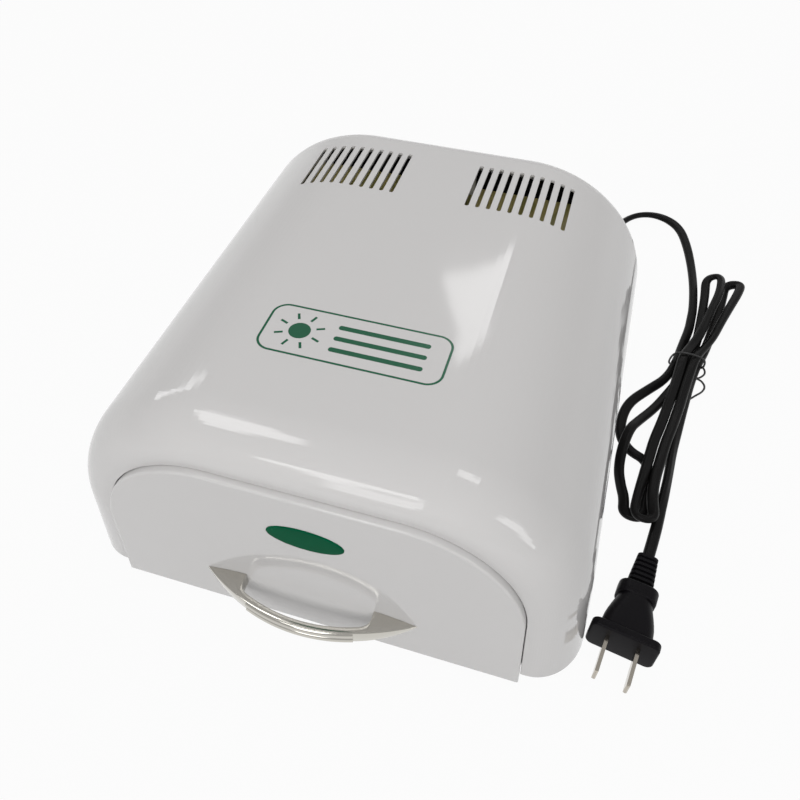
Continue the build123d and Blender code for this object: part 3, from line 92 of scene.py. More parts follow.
# --------------------------------------------------------------- mains lead: route
LOW, HIGH = 2.45, 7.75              # axis of a strand on the table, and of one on another
LIFT = 1.4                          # strands stand this much higher inside the tie
PLUG = Vector((124.6, 22.35, 8.50))     # middle of its front face
PLUG_TURN, PLUG_DROP = radians(9.5), radians(4.0)
PLUG_AXIS = Vector((sin(PLUG_TURN) * cos(PLUG_DROP), cos(PLUG_TURN) * cos(PLUG_DROP),
                    -sin(PLUG_DROP)))
PLUG_LONG = 47                      # from its front face to the end of its ribs
GLAND = (80, 240, 17)
ROUTE = [GLAND, (80, 254, 17), (80.8, 270, 13.6), (83.8, 288, 6), (88.5, 308, LOW),
         (95.5, 328, LOW), (104, 340, LOW), (115, 344.8, LOW), (126, 342, LOW), (134.5, 333, LOW),
         (139.5, 316, LOW), (143, 296, LOW), (145.4, 274, LOW), (145.9, 252, LOW),
         (145.1, 242, LOW), (144.3, 232, LOW), (140.9, 216, LOW), (138.2, 201, LOW + LIFT),
         (134, 188, LOW), (125, 176.5, LOW), (116.5, 165, LOW), (113.4, 153, LOW),
         (113.6, 140, LOW), (119, 131, LOW), (128, 127.3, LOW), (130.2, 118, LOW),
         (129.6, 104, LOW), (129.6, 92, LOW), (120, 92, LOW), (119.6, 101, LOW), (117.3, 108, LOW),
         (115, 116.5, 4), (114.9, 127, HIGH + 0.1), (117.3, 141, HIGH + 0.1), (121.5, 150, 5),
         (129.5, 164, LOW), (136, 178, LOW), (141.3, 190, LOW), (143.75, 202, LOW + LIFT),
         (146.6, 213, LOW), (149.2, 224, LOW), (150.6, 240, LOW), (151.7, 256, LOW),
         (152.4, 268, LOW), (152.2, 283, 3.6), (160.6, 283, HIGH), (159.6, 266, HIGH),
         (155.6, 250, HIGH), (152.3, 236, HIGH), (149, 223, HIGH), (144.9, 212, HIGH),
         (140.8, 202, HIGH + LIFT), (139.3, 190, HIGH), (137.3, 176, HIGH), (135.1, 163, HIGH),
         (132.7, 150, HIGH), (129.8, 137, HIGH), (128.2, 125, HIGH), (126.4, 112, HIGH),
         (124.6, 100, HIGH), (123.6, 88, HIGH), (133.4, 88, HIGH), (131.4, 100, HIGH),
         (131.7, 112, HIGH), (133.7, 125, HIGH), (135.4, 137, HIGH), (138.2, 150, HIGH),
         (140.6, 163, HIGH), (142.6, 176, HIGH), (144.8, 190, HIGH), (146.8, 202, HIGH + LIFT),
         (151.4, 212, HIGH), (156.4, 223, HIGH), (160.5, 238, HIGH), (165.8, 255, HIGH),
         (170, 268, HIGH), (172.3, 279, 6.5), (164.3, 281, LOW), (162.8, 268, LOW),
         (160.7, 254, LOW), (157.8, 238, LOW), (155.1, 224, LOW), (152.5, 213, LOW),
         (149.2, 202, LOW + LIFT), (147, 190, LOW), (145.5, 180, LOW), (143.2, 163, LOW),
         (141.7, 150.5, LOW), (140.2, 138, LOW), (139.2, 122, LOW), (138.1, 110, LOW),
         (136.6, 97.5, LOW), tuple(PLUG + (PLUG_LONG + 15) * PLUG_AXIS),
         tuple(PLUG + PLUG_LONG * PLUG_AXIS)]
CORD_WIDE, CORD_THICK, CORD_LONG = 5.4, 3.6, 1.231      # millimetres, and metres of lead


def along(points, steps=12):
    """The points of the smooth line that a route draws, in metres."""
    curve = bpy.data.curves.new("route", "CURVE")
    curve.dimensions = "3D"
    curve.resolution_u = steps
    spline = curve.splines.new("NURBS")
    spline.points.add(len(points) - 1)
    for knot, place in zip(spline.points, points):
        knot.co = (*spot(*place), 1.0)
    spline.order_u = 3
    spline.use_endpoint_u = True
    holder = put(bpy.data.objects.new("route", curve))
    mesh = worked_out(holder)
    line = []
    for vertex in mesh.vertices:
        if not line or (vertex.co - line[-1]).length > 1e-5:
            line.append(vertex.co.copy())
    bpy.data.objects.remove(holder)
    bpy.data.curves.remove(curve)
    bpy.data.meshes.remove(mesh)
    return line


def tube(name, line, section, tilt):
    """A capped tube along a line; `section` gives its outline in millimetres as side and
    up, and `tilt` its lean at each share of the way."""
    made = bmesh.new()
    rings, gone, last = [], 0.0, len(line) - 1
    for i, place in enumerate(line):
        ahead = (line[min(i + 1, last)] - line[max(i - 1, 0)]).normalized()
        side = ahead.cross(Vector((0, 0, 1))).normalized()
        up = side.cross(ahead)
        lean = tilt(i / last)
        across, high = side * cos(lean) + up * sin(lean), up * cos(lean) - side * sin(lean)
        rings.append([made.verts.new(place + (across * a + high * b) * MM) for a, b in section])
    count = len(section)
    walk = made.loops.layers.uv.new("along")
    for i in range(last):
        step = (line[i + 1] - line[i]).length
        for k in range(count):
            j = (k + 1) % count
            face = made.faces.new((rings[i][k], rings[i + 1][k], rings[i + 1][j], rings[i][j]))
            corners = ((k, gone), (k, gone + step), (k + 1, gone + step), (k + 1, gone))
            for loop, (turn, far) in zip(face.loops, corners):
                loop[walk].uv = (turn / count, far)
        gone += step
    made.faces.new(rings[0])
    made.faces.new(rings[-1][::-1])
    return hand_over(made, name, smooth=True)


def hand_over(made, name, smooth=False, sharp=35):
    """Turns a bmesh into an object with its faces outwards; rounds its shading."""
    bmesh.ops.remove_doubles(made, verts=made.verts, dist=1e-7)
    bmesh.ops.recalc_face_normals(made, faces=made.faces)
    mesh = bpy.data.meshes.new(name)
    made.to_mesh(mesh)
    made.free()
    if smooth:
        mesh.shade_smooth()
        mesh.set_sharp_from_angle(angle=radians(sharp))
    return put(bpy.data.objects.new(name, mesh))


def stadium(wide, thick, turns=8):
    """Outline of a flat two-core cord, with a shallow waist between the cores."""
    half, radius = (wide - thick) / 2, thick / 2
    waist = radius * 0.93
    arc = [radians(-90 + 180 * i / turns) for i in range(turns + 1)]
    right = [(half + radius * cos(a), radius * sin(a)) for a in arc]
    left = [(-half - radius * cos(a), -radius * sin(a)) for a in arc]
    return right + [(0, waist)] + left + [(0, -waist)]


def lead_lean(share):
    """The lead lies on its broad side and rolls a little to and fro on its way."""
    return radians(22 + 22 * sin(share * 41 + 0.6) + 14 * sin(share * 97 + 2.0))


lead_line = along(ROUTE)
mains_lead = tube("mains_lead", lead_line, stadium(CORD_WIDE, CORD_THICK), lead_lean)

# ------------------------------------------------------------------- node building


class Wire:
    """A socket that can be added, scaled and compared like a number."""

    def __init__(self, nodes, socket):
        self.nodes, self.socket = nodes, socket

    def math(self, operation, *terms, clamp=False):
        node = self.nodes.add("ShaderNodeMath", {"operation": operation, "use_clamp": clamp},
                              dict(enumerate(terms)))
        return Wire(self.nodes, node.outputs[0])

    def between(self, low, high):
        """One from `low` to `high`, and nothing outside."""
        return self.above(low) * (high - self).above(0.0)

    def __add__(self, other): return self.math("ADD", self, other)
    def __radd__(self, other): return self.math("ADD", other, self)
    def __sub__(self, other): return self.math("SUBTRACT", self, other)
    def __rsub__(self, other): return self.math("SUBTRACT", other, self)
    def __mul__(self, other): return self.math("MULTIPLY", self, other)
    def __rmul__(self, other): return self.math("MULTIPLY", other, self)
    def __truediv__(self, other): return self.math("DIVIDE", self, other)
    def __abs__(self): return self.math("ABSOLUTE", self)
    def above(self, other): return self.math("GREATER_THAN", self, other)
    def most(self, other): return self.math("MAXIMUM", self, other)
    def root(self): return self.math("SQRT", self)
    def fraction(self): return self.math("FRACT", self)
    def held(self): return self.math("ADD", self, 0.0, clamp=True)


class Nodes:
    """A node tree, of a material or of a mesh, and the call that adds a node to it."""

    def __init__(self, tree):
        self.tree = tree

    def join(self, value, socket):
        if isinstance(value, Wire):
            value = value.socket
        if isinstance(value, bpy.types.NodeSocket):
            self.tree.links.new(value, socket)
        elif isinstance(value, tuple) and socket.type == "RGBA" and len(value) == 3:
            socket.default_value = (*value, 1.0)
        else:
            socket.default_value = value

    def add(self, kind, settings=None, values=None):
        node = self.tree.nodes.new(kind)
        for name, value in (settings or {}).items():
            setattr(node, name, value)
        for name, value in (values or {}).items():
            self.join(value, node.inputs[name])
        return node

    def wire(self, kind, values=None):
        return Wire(self, self.add(kind, values=values).outputs[0])


class Finish(Nodes):
    """A material on its own tree: places, noises, and the surface they end in."""

    def __init__(self, name, colour, roughness, **fixed):
        self.material = bpy.data.materials.new(name)
        self.material.use_nodes = True
        super().__init__(self.material.node_tree)
        self.surface = self.tree.nodes["Principled BSDF"]
        self.set(**{"Base Color": colour, "Roughness": roughness}, **fixed)
        self.place = self.add("ShaderNodeTexCoord").outputs["Object"]

    def set(self, **values):
        for name, value in values.items():
            self.join(value, self.surface.inputs[name.replace("_", " ")])

    def noise(self, scale, detail, stretch=(1, 1, 1)):
        """A noise between 0 and 1, `scale` to the metre, drawn out by `stretch`."""
        place = self.wire("ShaderNodeMapping", {"Vector": self.place, "Scale": stretch})
        return self.wire("ShaderNodeTexNoise", {"Vector": place, "Scale": scale, "Detail": detail,
                                                "Roughness": 0.5})

    def blend(self, mask, below, above):
        node = self.add("ShaderNodeMix", {"data_type": "RGBA"}, {0: mask, 6: below, 7: above})
        return Wire(self, node.outputs[2])

    def bump(self, height, distance, strength=1.0):
        self.set(Normal=self.wire("ShaderNodeBump", {"Height": height, "Strength": strength,
                                                     "Distance": distance}))

    def axes(self):
        split = self.add("ShaderNodeSeparateXYZ", values={"Vector": self.place})
        return [Wire(self, split.outputs[i]) for i in range(3)]


def shade(colour, by):
    return tuple(channel * by for channel in colour)


# ----------------------------------------------------------------------- finishes
def plastic(name, colour, roughness, grain=900, deep=0.00002, worn=0.12, **fixed):
    """Moulded plastic or rubber: fine skin, slight mottling, fingered gloss."""
    made = Finish(name, colour, roughness, **fixed)
    mottle = made.noise(35, 4)
    made.set(**{"Base Color": made.blend(mottle, shade(colour, 0.9), shade(colour, 1.06))})
    made.set(Roughness=(roughness - worn / 2 + made.noise(60, 5) * worn).held())
    made.bump(made.noise(grain, 2), deep)
    return made


def metal(name, colour, roughness, stretch=(1, 1, 1), scale=400, worn=0.15, deep=0.00001):
    """Sheet or turned metal with its grain drawn out along `stretch`."""
    made = Finish(name, colour, roughness, Metallic=1.0)
    grain = made.noise(scale, 5, stretch)
    cloud = made.noise(18, 3)
    made.set(**{"Base Color": made.blend(cloud, shade(colour, 0.88), colour)})
    made.set(Roughness=(roughness - worn / 2 + grain * worn).held())
    made.bump(grain, deep, 0.6)
    return made


PRINT_GREEN = (0.0, 0.080, 0.034)


def casing_finish():
    """Glossy white moulding, faintly uneven, with a plain outlined lamp sign on its top.

    Its rear wall is painted near black inside, behind the vents: painted shade that stands in for
    the unlit cavity.
    """
    white = (0.560, 0.550, 0.545)
    made = Finish("casing_white", white, 0.07)
    x, y, z = made.axes()
    x, y, z = x / MM, y / MM - RIM, z / MM

    def box(left, right, front, rear, corner):
        """Distance to a rounded oblong on the top, in millimetres."""
        over_x = (abs(x - (left + right) / 2) - ((right - left) / 2 - corner)).most(0.0)
        over_y = (abs(y - (front + rear) / 2) - ((rear - front) / 2 - corner)).most(0.0)
        return (over_x * over_x + over_y * over_y).root() - corner

    def ink(distance):
        """One inside a shape and nothing outside, over an edge 0.16 mm wide."""
        return (0.5 - distance / 0.16).held()

    frame_line = ink(abs(box(-38, 35, 51, 77, 6)) - 0.5)
    bars = ink(box(-10, 27, 69, 71.4, 1.1)).most(ink(box(-10, 27, 62.8, 65.2, 1.1))).most(
        ink(box(-10, 27, 56.6, 59, 1.1)))
    from_x, from_y = x + 24, y - 64
    away = (from_x * from_x + from_y * from_y).root()
    ray_turn = 2 * pi / 8               # the lamp sign has eight rays
    off_ray = abs((from_x.math("ARCTAN2", from_y, from_x) / ray_turn).fraction() - 0.5)
    rays = ink(off_ray * ray_turn * away - 0.55) * ink(abs(away - 8.2) - 1.7)
    sun = ink(away - 4.4).most(rays)
    printed = frame_line.most(sun).most(bars) * z.above(104)
    body = made.blend(made.noise(14, 3), shade(white, 0.985), shade(white, 1.01))
    # Painted shade: a near-black band on the inside of the rear wall, behind the vents, where the
    # cavity is unlit.
    painted_shade_behind_vents = y.between(217.2, 218.5) * x.between(-70, 70) * z.between(60, 92)
    body = made.blend(painted_shade_behind_vents, body, (0.008, 0.008, 0.008))
    made.set(**{"Base Color": made.blend(printed, body, PRINT_GREEN)})
    made.set(Roughness=(0.05 + made.noise(40, 4) * 0.05 + printed * 0.15).held())
    made.bump(made.noise(110, 1), 0.00003, 0.3)
    return made


def board_finish():
    """Olive laminate with darker tracks under its lacquer."""
    made = Finish("board_laminate", (0.30, 0.25, 0.09), 0.35)
    tracks = made.noise(120, 0, (1, 0.25, 1)).above(0.56)
    made.set(**{"Base Color": made.blend(tracks, (0.34, 0.29, 0.11), (0.24, 0.22, 0.07))})
    made.set(Roughness=(0.3 + made.noise(300, 3) * 0.15).held())
    made.bump(tracks, 0.00004)
    return made


def lamp_finish():
    """White fluorescent coating under clear glass, dusky towards the base."""
    white, dusk = (0.80, 0.82, 0.86), (0.42, 0.41, 0.42)
    made = Finish("lamp_glass", white, 0.18, Coat_Weight=0.6, Coat_Roughness=0.03)
    behind = made.axes()[1] / MM - RIM
    ends = ((behind - 148) / 9).held()
    made.set(**{"Base Color": made.blend(ends + made.noise(90, 3) * 0.08, white, dusk)})
    made.bump(made.noise(700, 2), 0.000008)
    return made


def cord_finish():
    """Black vinyl with a fine drawn skin along its length."""
    made = Finish("cord_vinyl", (0.004, 0.004, 0.004), 0.36, Specular_IOR_Level=0.11)
    skin = made.noise(500, 4, (1, 0.4, 1))
    made.set(**{"Base Color": made.blend(made.noise(50, 3), (0.003, 0.003, 0.003),
                                         (0.006, 0.0055, 0.0055))})
    made.set(Roughness=(0.27 + skin * 0.18).held())
    made.bump(skin, 0.00003, 0.5)
    return made


def badge_finish():
    """Green enamel, a little cloudy."""
    made = Finish("badge_enamel", PRINT_GREEN, 0.25, Specular_IOR_Level=0.02)
    cloud = made.noise(120, 3)
    made.set(**{"Base Color": made.blend(cloud, shade(PRINT_GREEN, 0.85),
                                         shade(PRINT_GREEN, 1.15))})
    made.set(Roughness=(0.2 + cloud * 0.1).held())
    made.bump(made.noise(900, 2), 0.00001)
    return made


FINISHES = {
    "casing": casing_finish(),
    "steel_sheet": metal("zinc_sheet", (0.60, 0.61, 0.62), 0.42, scale=120, worn=0.2),
    "reflector": metal("reflector_sheet", (0.80, 0.81, 0.82), 0.22, (1, 0.04, 1), 900),
    "mirror": metal("mirror_sheet", (0.86, 0.87, 0.88), 0.05, scale=30, worn=0.03, deep=0.000002),
    "chrome": metal("handle_chrome", (0.60, 0.58, 0.53), 0.10, scale=60, worn=0.05, deep=0.000004),
    "badge": badge_finish(),
    "black_rubber": plastic("foot_rubber", (0.018, 0.018, 0.018), 0.7, 1200, 0.00005),
    "cord": cord_finish(),
    "plug": plastic("plug_vinyl", (0.0045, 0.004, 0.005), 0.4, 700, 0.00003,
                    Specular_IOR_Level=0.09),
    "blade": metal("blade_nickel", (0.50, 0.46, 0.40), 0.16, (1, 0.1, 1), 900),
    "screw": metal("screw_zinc", (0.66, 0.66, 0.64), 0.3, scale=900),
    "lamp_glass": lamp_finish(),
    "lamp_base": plastic("lamp_base_plastic", (0.70, 0.68, 0.62), 0.45),
    "pin": metal("pin_brass", (0.70, 0.52, 0.24), 0.28, scale=900),
    "board": board_finish(),
    "electronics": plastic("choke_and_capacitor", (0.05, 0.045, 0.04), 0.42, 1500, 0.00006),
    "control": plastic("control_black", (0.022, 0.022, 0.023), 0.45, 1400, 0.00004),
    "rocker": plastic("rocker_red", (0.50, 0.03, 0.02), 0.3),
    "button": plastic("button_green", (0.02, 0.24, 0.06), 0.3),
    "lens": plastic("lens_red", (0.62, 0.03, 0.02), 0.12, Coat_Weight=0.8),
    "tie": plastic("tie_plastic", (0.015, 0.015, 0.015), 0.4, 1600, 0.00003),
}


def dress(piece, slot):
    """Gives a new piece its finish."""
    piece.data.materials.clear()
    piece.data.materials.append(FINISHES[slot].material)


# ---------------------------------------------------------- rows of rounded blocks
def block_tree():
    """Mesh nodes for a row of rounded blocks: each stands `Deep` high on its own
    outline, `Step` from the last, and the last one's outline is `Last` times the first."""
    tree = bpy.data.node_groups.new("row_of_blocks", "GeometryNodeTree")
    for name, kind in (("Geometry", "Geometry"), ("Count", "Int"), ("Step", "Vector"),
                       ("Wide", "Float"), ("Long", "Float"), ("Deep", "Float"),
                       ("Corner", "Float"), ("Last", "Float"), ("Finish", "Material")):
        tree.interface.new_socket(name, in_out="INPUT", socket_type="NodeSocket" + kind)
    tree.interface.new_socket("Geometry", in_out="OUTPUT", socket_type="NodeSocketGeometry")
    nodes = Nodes(tree)
    given = nodes.add("NodeGroupInput").outputs
    outline = nodes.add("GeometryNodeCurvePrimitiveQuadrilateral",
                        values={"Width": given["Wide"], "Height": given["Long"]})
    softer = nodes.add("GeometryNodeFilletCurve", {"mode": "POLY"},
                       {"Curve": outline.outputs[0], "Radius": given["Corner"],
                        "Limit Radius": True, "Count": 8})
    face = nodes.add("GeometryNodeFillCurve", {"mode": "NGONS"}, {"Curve": softer.outputs[0]})
    upwards = nodes.add("ShaderNodeCombineXYZ", values={"Z": given["Deep"]})
    raised = nodes.add("GeometryNodeExtrudeMesh",
                       values={"Mesh": face.outputs[0], "Offset": upwards.outputs[0],
                               "Individual": False})
    floor = nodes.add("GeometryNodeFlipFaces", values={"Mesh": face.outputs[0]})
    both = nodes.add("GeometryNodeJoinGeometry")
    tree.links.new(raised.outputs[0], both.inputs[0])
    tree.links.new(floor.outputs[0], both.inputs[0])
    solid = nodes.add("GeometryNodeMergeByDistance",
                      values={"Geometry": both.outputs[0], "Distance": 1e-6})
    row = nodes.add("GeometryNodeMeshLine",
                    values={"Count": given["Count"], "Offset": given["Step"]})
    index = nodes.wire("GeometryNodeInputIndex")
    share = index / (Wire(nodes, given["Count"]) - 1.0).most(1.0)
    size = 1.0 + share * (Wire(nodes, given["Last"]) - 1.0)
    scale = nodes.add("ShaderNodeCombineXYZ", values={"X": size, "Y": size, "Z": 1.0})
    placed = nodes.add("GeometryNodeInstanceOnPoints",
                       values={"Points": row.outputs[0], "Instance": solid.outputs[0],
                               "Scale": scale.outputs[0]})
    real = nodes.add("GeometryNodeRealizeInstances", values={"Geometry": placed.outputs[0]})
    finished = nodes.add("GeometryNodeSetMaterial",
                         values={"Geometry": real.outputs[0], "Material": given["Finish"]})
    tree.links.new(finished.outputs[0], nodes.add("NodeGroupOutput").inputs[0])
    return tree


BLOCKS = block_tree()


def blocks(made, place, slot="casing", **sizes):
    """Adds a row of rounded blocks to a bmesh, moved and turned by `place`."""
    mesh = bpy.data.meshes.new("blocks")
    holder = put(bpy.data.objects.new("blocks", mesh))
    modifier = holder.modifiers.new("row", "NODES")
    modifier.node_group = BLOCKS
    sizes = {"Last": 1.0, "Count": 1, "Step": (0, 0, 0), **sizes,
             "Finish": FINISHES[slot].material}
    for socket in BLOCKS.interface.items_tree:
        if socket.name in sizes and socket.in_out == "INPUT":
            modifier[socket.identifier] = sizes[socket.name]
    row = worked_out(holder)
    row.transform(place)
    made.from_mesh(row)
    bpy.data.objects.remove(holder)
    bpy.data.meshes.remove(mesh)
    bpy.data.meshes.remove(row)


def standing(x, behind, z):
    """Turns and moves a millimetre shape so that it stands on a place."""
    return Matrix.Translation(spot(x, behind, z)) @ Matrix.Scale(MM, 4)


def facing_rear(x, behind, z):
    """The same for a shape that stands out towards the rear."""
    return (Matrix.Translation(spot(x, behind, z)) @ Matrix.Rotation(-pi / 2, 4, "X")
            @ Matrix.Scale(MM, 4))


# ------------------------------------------------------------------ casing moulding
SHELL = (110.0, 105.0, 66.0, radians(6.2))          # half width, top, shoulder, lean
RIM_LOOP = (89.397, 93.4, 51.1, radians(4.3))       # the same at its front rim
OPENING = (87.75, 91.55, 49.25, radians(4.3))       # and of the opening, at OPENING_LOW
COLLAR = (90.1, 93.9, 51.6, radians(4.3))           # and of the collar's outside
FOOT, OPENING_LOW, COLLAR_LOW = 5.0, 2.3, 7.4       # heights over the table
CHAMFER, MOUTH_STEP = 0.2, 1.9                      # of the opening's edge, behind the rim
COLLAR_FROM, COLLAR_TO = 4, 10
WALL, DEPTH, FRONT_ROUND, REAR_ROUND = 2.5, 220.0, 25.0, 10.0
THIN = 1.1                                          # roof's wall between the vents
VENTS_START, VENTS_MIDDLE = (-63.2, 18.2), 183      # x of a row's first slot; its middle
REAR_HOLES = ((-24, 32, 6.15), (-8, 32, 2.6), (80, 17, 5.5))    # x, height and radius
SIDE_STEPS, ARC_STEPS, TOP_STEPS = 6, 36, 12
FRONT_TURNS = tuple(range(0, 91, 3))
INNER_FROM = 7                                      # the inner skin starts at this turn
REAR_TURNS = (0, 15, 30, 45, 60, 75, 90)
STRAIGHT = (45, 70, 95, 120, 143, 163, 203)


def arch(half, high, radius, lean, base, low, behind):
    """Points of an arch: up its left side, over, and down to the right; `half` is its
    half width at height `base`, and it starts at height `low`."""
    shoulder = half - (radius + (high - radius - base) * sin(lean)) / cos(lean)
    side = Vector((shoulder + radius * cos(lean), high - radius + radius * sin(lean)))
    foot = Vector((half - (low - base) * tan(lean), low))
    right = [foot.lerp(side, i / SIDE_STEPS) for i in range(SIDE_STEPS)]
    turns = [lean + (pi / 2 - lean) * i / ARC_STEPS for i in range(ARC_STEPS + 1)]
    right += [Vector((shoulder + radius * cos(a), high - radius + radius * sin(a))) for a in turns]
    top = [Vector((shoulder * (1 - 2 * i / TOP_STEPS), high)) for i in range(1, TOP_STEPS)]
    whole = [Vector((-p.x, p.y)) for p in right] + top[::-1] + right[::-1]
    return [spot(p.x, behind, p.y) for p in whole]


def shell_loops(inset):
    """The casing's skin as arches from its front to its rear, drawn in by `inset`."""
    full = (SHELL[0] - inset, SHELL[1] - inset, SHELL[2] - inset, SHELL[3])
    loops = []
    for turn in FRONT_TURNS[INNER_FROM if inset else 0:]:
        drawn = 1 - sin(radians(turn))
        size = [a + drawn * (b - a) for a, b in zip(full, RIM_LOOP)]
        behind = inset + (FRONT_ROUND - inset) * (1 - cos(radians(turn)))
        loops.append(arch(*size, FOOT, FOOT, behind))
    loops += [arch(*full, FOOT, FOOT, behind) for behind in STRAIGHT]
    for turn in REAR_TURNS:
        drawn = (REAR_ROUND - inset) * (1 - cos(radians(turn)))
        behind = DEPTH - REAR_ROUND + (REAR_ROUND - inset) * sin(radians(turn))
        loops.append(arch(*[a - drawn for a in full[:3]], SHELL[3], FOOT, FOOT, behind))
    return loops


def skin_normals(loops):
    """Exact directions of a skin at its grid points."""
    found, rows, columns = [], len(loops), len(loops[0])
    for r in range(rows):
        for c in range(columns):
            back = loops[min(r + 1, rows - 1)][c] - loops[max(r - 1, 0)][c]
            over = loops[r][min(c + 1, columns - 1)] - loops[r][max(c - 1, 0)]
            found.append(back.cross(over).normalized())
    return found


def casing_solid():
    """The moulding before its openings are cut: two skins, joined round the drawer's
    opening by a rim and a collar, and along the lower edge."""
    outer, inner = shell_loops(0), shell_loops(WALL)
    flared = [size + CHAMFER for size in OPENING[:3]] + [OPENING[3]]
    mouth = [arch(*size, OPENING_LOW, low, behind) for size, low, behind in (
        (flared, FOOT, 0), (OPENING, FOOT, CHAMFER), (OPENING, COLLAR_LOW, MOUTH_STEP),
        (OPENING, COLLAR_LOW, COLLAR_TO), (COLLAR, COLLAR_LOW, COLLAR_TO),
        (COLLAR, COLLAR_LOW, COLLAR_FROM))]
    loops = outer[::-1] + mouth + inner
    made = bmesh.new()
    rows = [[made.verts.new(p) for p in loop] for loop in loops]
    for first, second in zip(rows, rows[1:]):
        for c in range(len(first) - 1):
            made.faces.new((first[c], first[c + 1], second[c + 1], second[c]))
    outer_rows, inner_rows = rows[:len(outer)][::-1], rows[-len(inner):]
    mouth_rows = rows[len(outer):-len(inner)]
    for end in (0, -1):
        feet = [row[end] for row in outer_rows]
        inside = [row[end] for row in inner_rows]
        lips = [row[end] for row in mouth_rows]
        for a, b, c, d in zip(feet[INNER_FROM:], feet[INNER_FROM + 1:], inside[1:], inside):
            made.faces.new((a, b, c, d))
        made.faces.new(feet[:INNER_FROM + 1] + [inside[0], lips[1], lips[0]])
        made.faces.new((lips[1], lips[2], lips[5], inside[0]))
        made.faces.new((lips[2], lips[3], lips[4], lips[5]))
    made.faces.new(outer_rows[-1])
    made.faces.new(inner_rows[-1])
    made.faces.new((outer_rows[-1][0], outer_rows[-1][-1], inner_rows[-1][-1], inner_rows[-1][0]))
    return hand_over(made, "casing_shell"), outer


def roof_pocket(made, side, left=16, right=67, front=163.8, rear=202.2):
    """Thins the roof from inside, under the vents, to a wall of THIN millimetres."""
    half, high, radius, lean = SHELL
    shoulder = half - (radius + (high - radius - FOOT) * sin(lean)) / cos(lean)
    rows = []
    corners = ((front, THIN), (rear, THIN), (rear, 2 * WALL), (front, 2 * WALL))
    for x in [left + (right - left) * i / 24 for i in range(25)]:
        fall = radius - sqrt(radius ** 2 - max(0.0, x - shoulder) ** 2)
        rows.append([made.verts.new(spot(side * x, behind, high - fall - below))
                     for behind, below in corners])
    skinned(made, rows)


def casing_cutters():
    """What is cut out of the moulding: vents and rear holes, then the roof's pockets."""
    made = bmesh.new()
    for start in VENTS_START:
        blocks(made, standing(start, VENTS_MIDDLE, 95), Count=10, Step=(5, 0, 0), Wide=2, Long=35,
               Deep=12, Corner=0.98)
    blocks(made, facing_rear(-55, 214, 32), Wide=13.2, Long=19.4, Deep=10, Corner=0.3)
    for x, z, radius in REAR_HOLES:
        blocks(made, facing_rear(x, 214, z), Wide=2 * radius, Long=2 * radius, Deep=10,
               Corner=radius * 0.98)
    pockets = bmesh.new()
    for side in (-1, 1):
        roof_pocket(pockets, side)
    return hand_over(made, "casing_cutters"), hand_over(pockets, "roof_pockets")


def apply_all(piece):
    """Turns a piece's modifiers into its mesh."""
    mesh = worked_out(piece)
    piece.modifiers.clear()
    piece.data = mesh


def smooth_over(piece, loops):
    """Gives the faces on the outer skin that skin's own directions, and the rest their own."""
    points = [p for loop in loops for p in loop]
    columns = len(loops[0])
    corners = [r * columns + c for r in range(len(loops) - 1) for c in range(columns - 1)]
    cells = [(i, i + 1, i + columns + 1, i + columns) for i in corners]
    skin, normals = BVHTree.FromPolygons(points, cells), skin_normals(loops)
    mesh = piece.data
    mesh.shade_smooth()
    found = [Vector()] * len(mesh.loops)
    for face in mesh.polygons:
        _, _, _, distance = skin.find_nearest(face.center)
        corner_normals = []
        for corner in face.loop_indices:
            vertex = mesh.vertices[mesh.loops[corner].vertex_index]
            place, _, cell, _ = skin.find_nearest(vertex.co)
            weights = poly_3d_calc([points[i] for i in cells[cell]], place)
            mixed = sum((normals[i] * w for i, w in zip(cells[cell], weights)), Vector())
            corner_normals.append(mixed.normalized())
        on_skin = distance < 0.2 * MM and all(n.dot(face.normal) > 0.75 for n in corner_normals)
        for corner, normal in zip(face.loop_indices, corner_normals):
            found[corner] = normal if on_skin else face.normal.copy()
    mesh.normals_split_custom_set(found)


def add_bosses(piece):
    """Screw bosses inside the casing: along its lower edges, and over its two boards."""
    made = bmesh.new()
    made.from_mesh(piece.data)
    for side in (-1, 1):
        for behind in (20, 112, 200):
            blocks(made, standing(side * 101, behind, 7.3), Wide=8, Long=8, Deep=34, Corner=3.98)
        for x, tall in ((13.9, 11.5), (68.1, 4.9)):
            blocks(made, standing(side * x, 164.4, 92), Count=2, Step=(0, 32.2, 0), Wide=5.2,
                   Long=5.2, Deep=tall, Corner=2.58)
    made.to_mesh(piece.data)
    made.free()


casing_shell, outer_loops = casing_solid()
for cutter in casing_cutters():
    cut = casing_shell.modifiers.new("openings", "BOOLEAN")
    cut.object, cut.solver, cut.operation = cutter, "EXACT", "DIFFERENCE"
    apply_all(casing_shell)
    bpy.data.objects.remove(cutter)
smooth_over(casing_shell, outer_loops)
add_bosses(casing_shell)

# ------------------------------------------------------------------- drawer's face
FACE = (87.5, 91.3, 49.0, radians(4.3))             # half width, top, shoulder, lean
FACE_LOW, FACE_PLANE, FACE_BACK, FACE_EDGE = 2.3, -3.0, 2.0, 1.1


def drawer_face():
    """The face's plate, rounded round its front edge."""
    made = bmesh.new()
    rows = []
    for turn in (0, 18, 36, 54, 72, 90):
        drawn = FACE_EDGE * (1 - sin(radians(turn)))
        rows.append(arch(*[size - drawn for size in FACE[:3]], FACE[3], FACE_LOW, FACE_LOW + drawn,
                         FACE_PLANE + FACE_EDGE * (1 - cos(radians(turn)))))
    rows.append(arch(*FACE, FACE_LOW, FACE_LOW, FACE_BACK))
    skinned(made, [[made.verts.new(p) for p in row] for row in rows])
    return hand_over(made, "drawer_face", smooth=True, sharp=50)


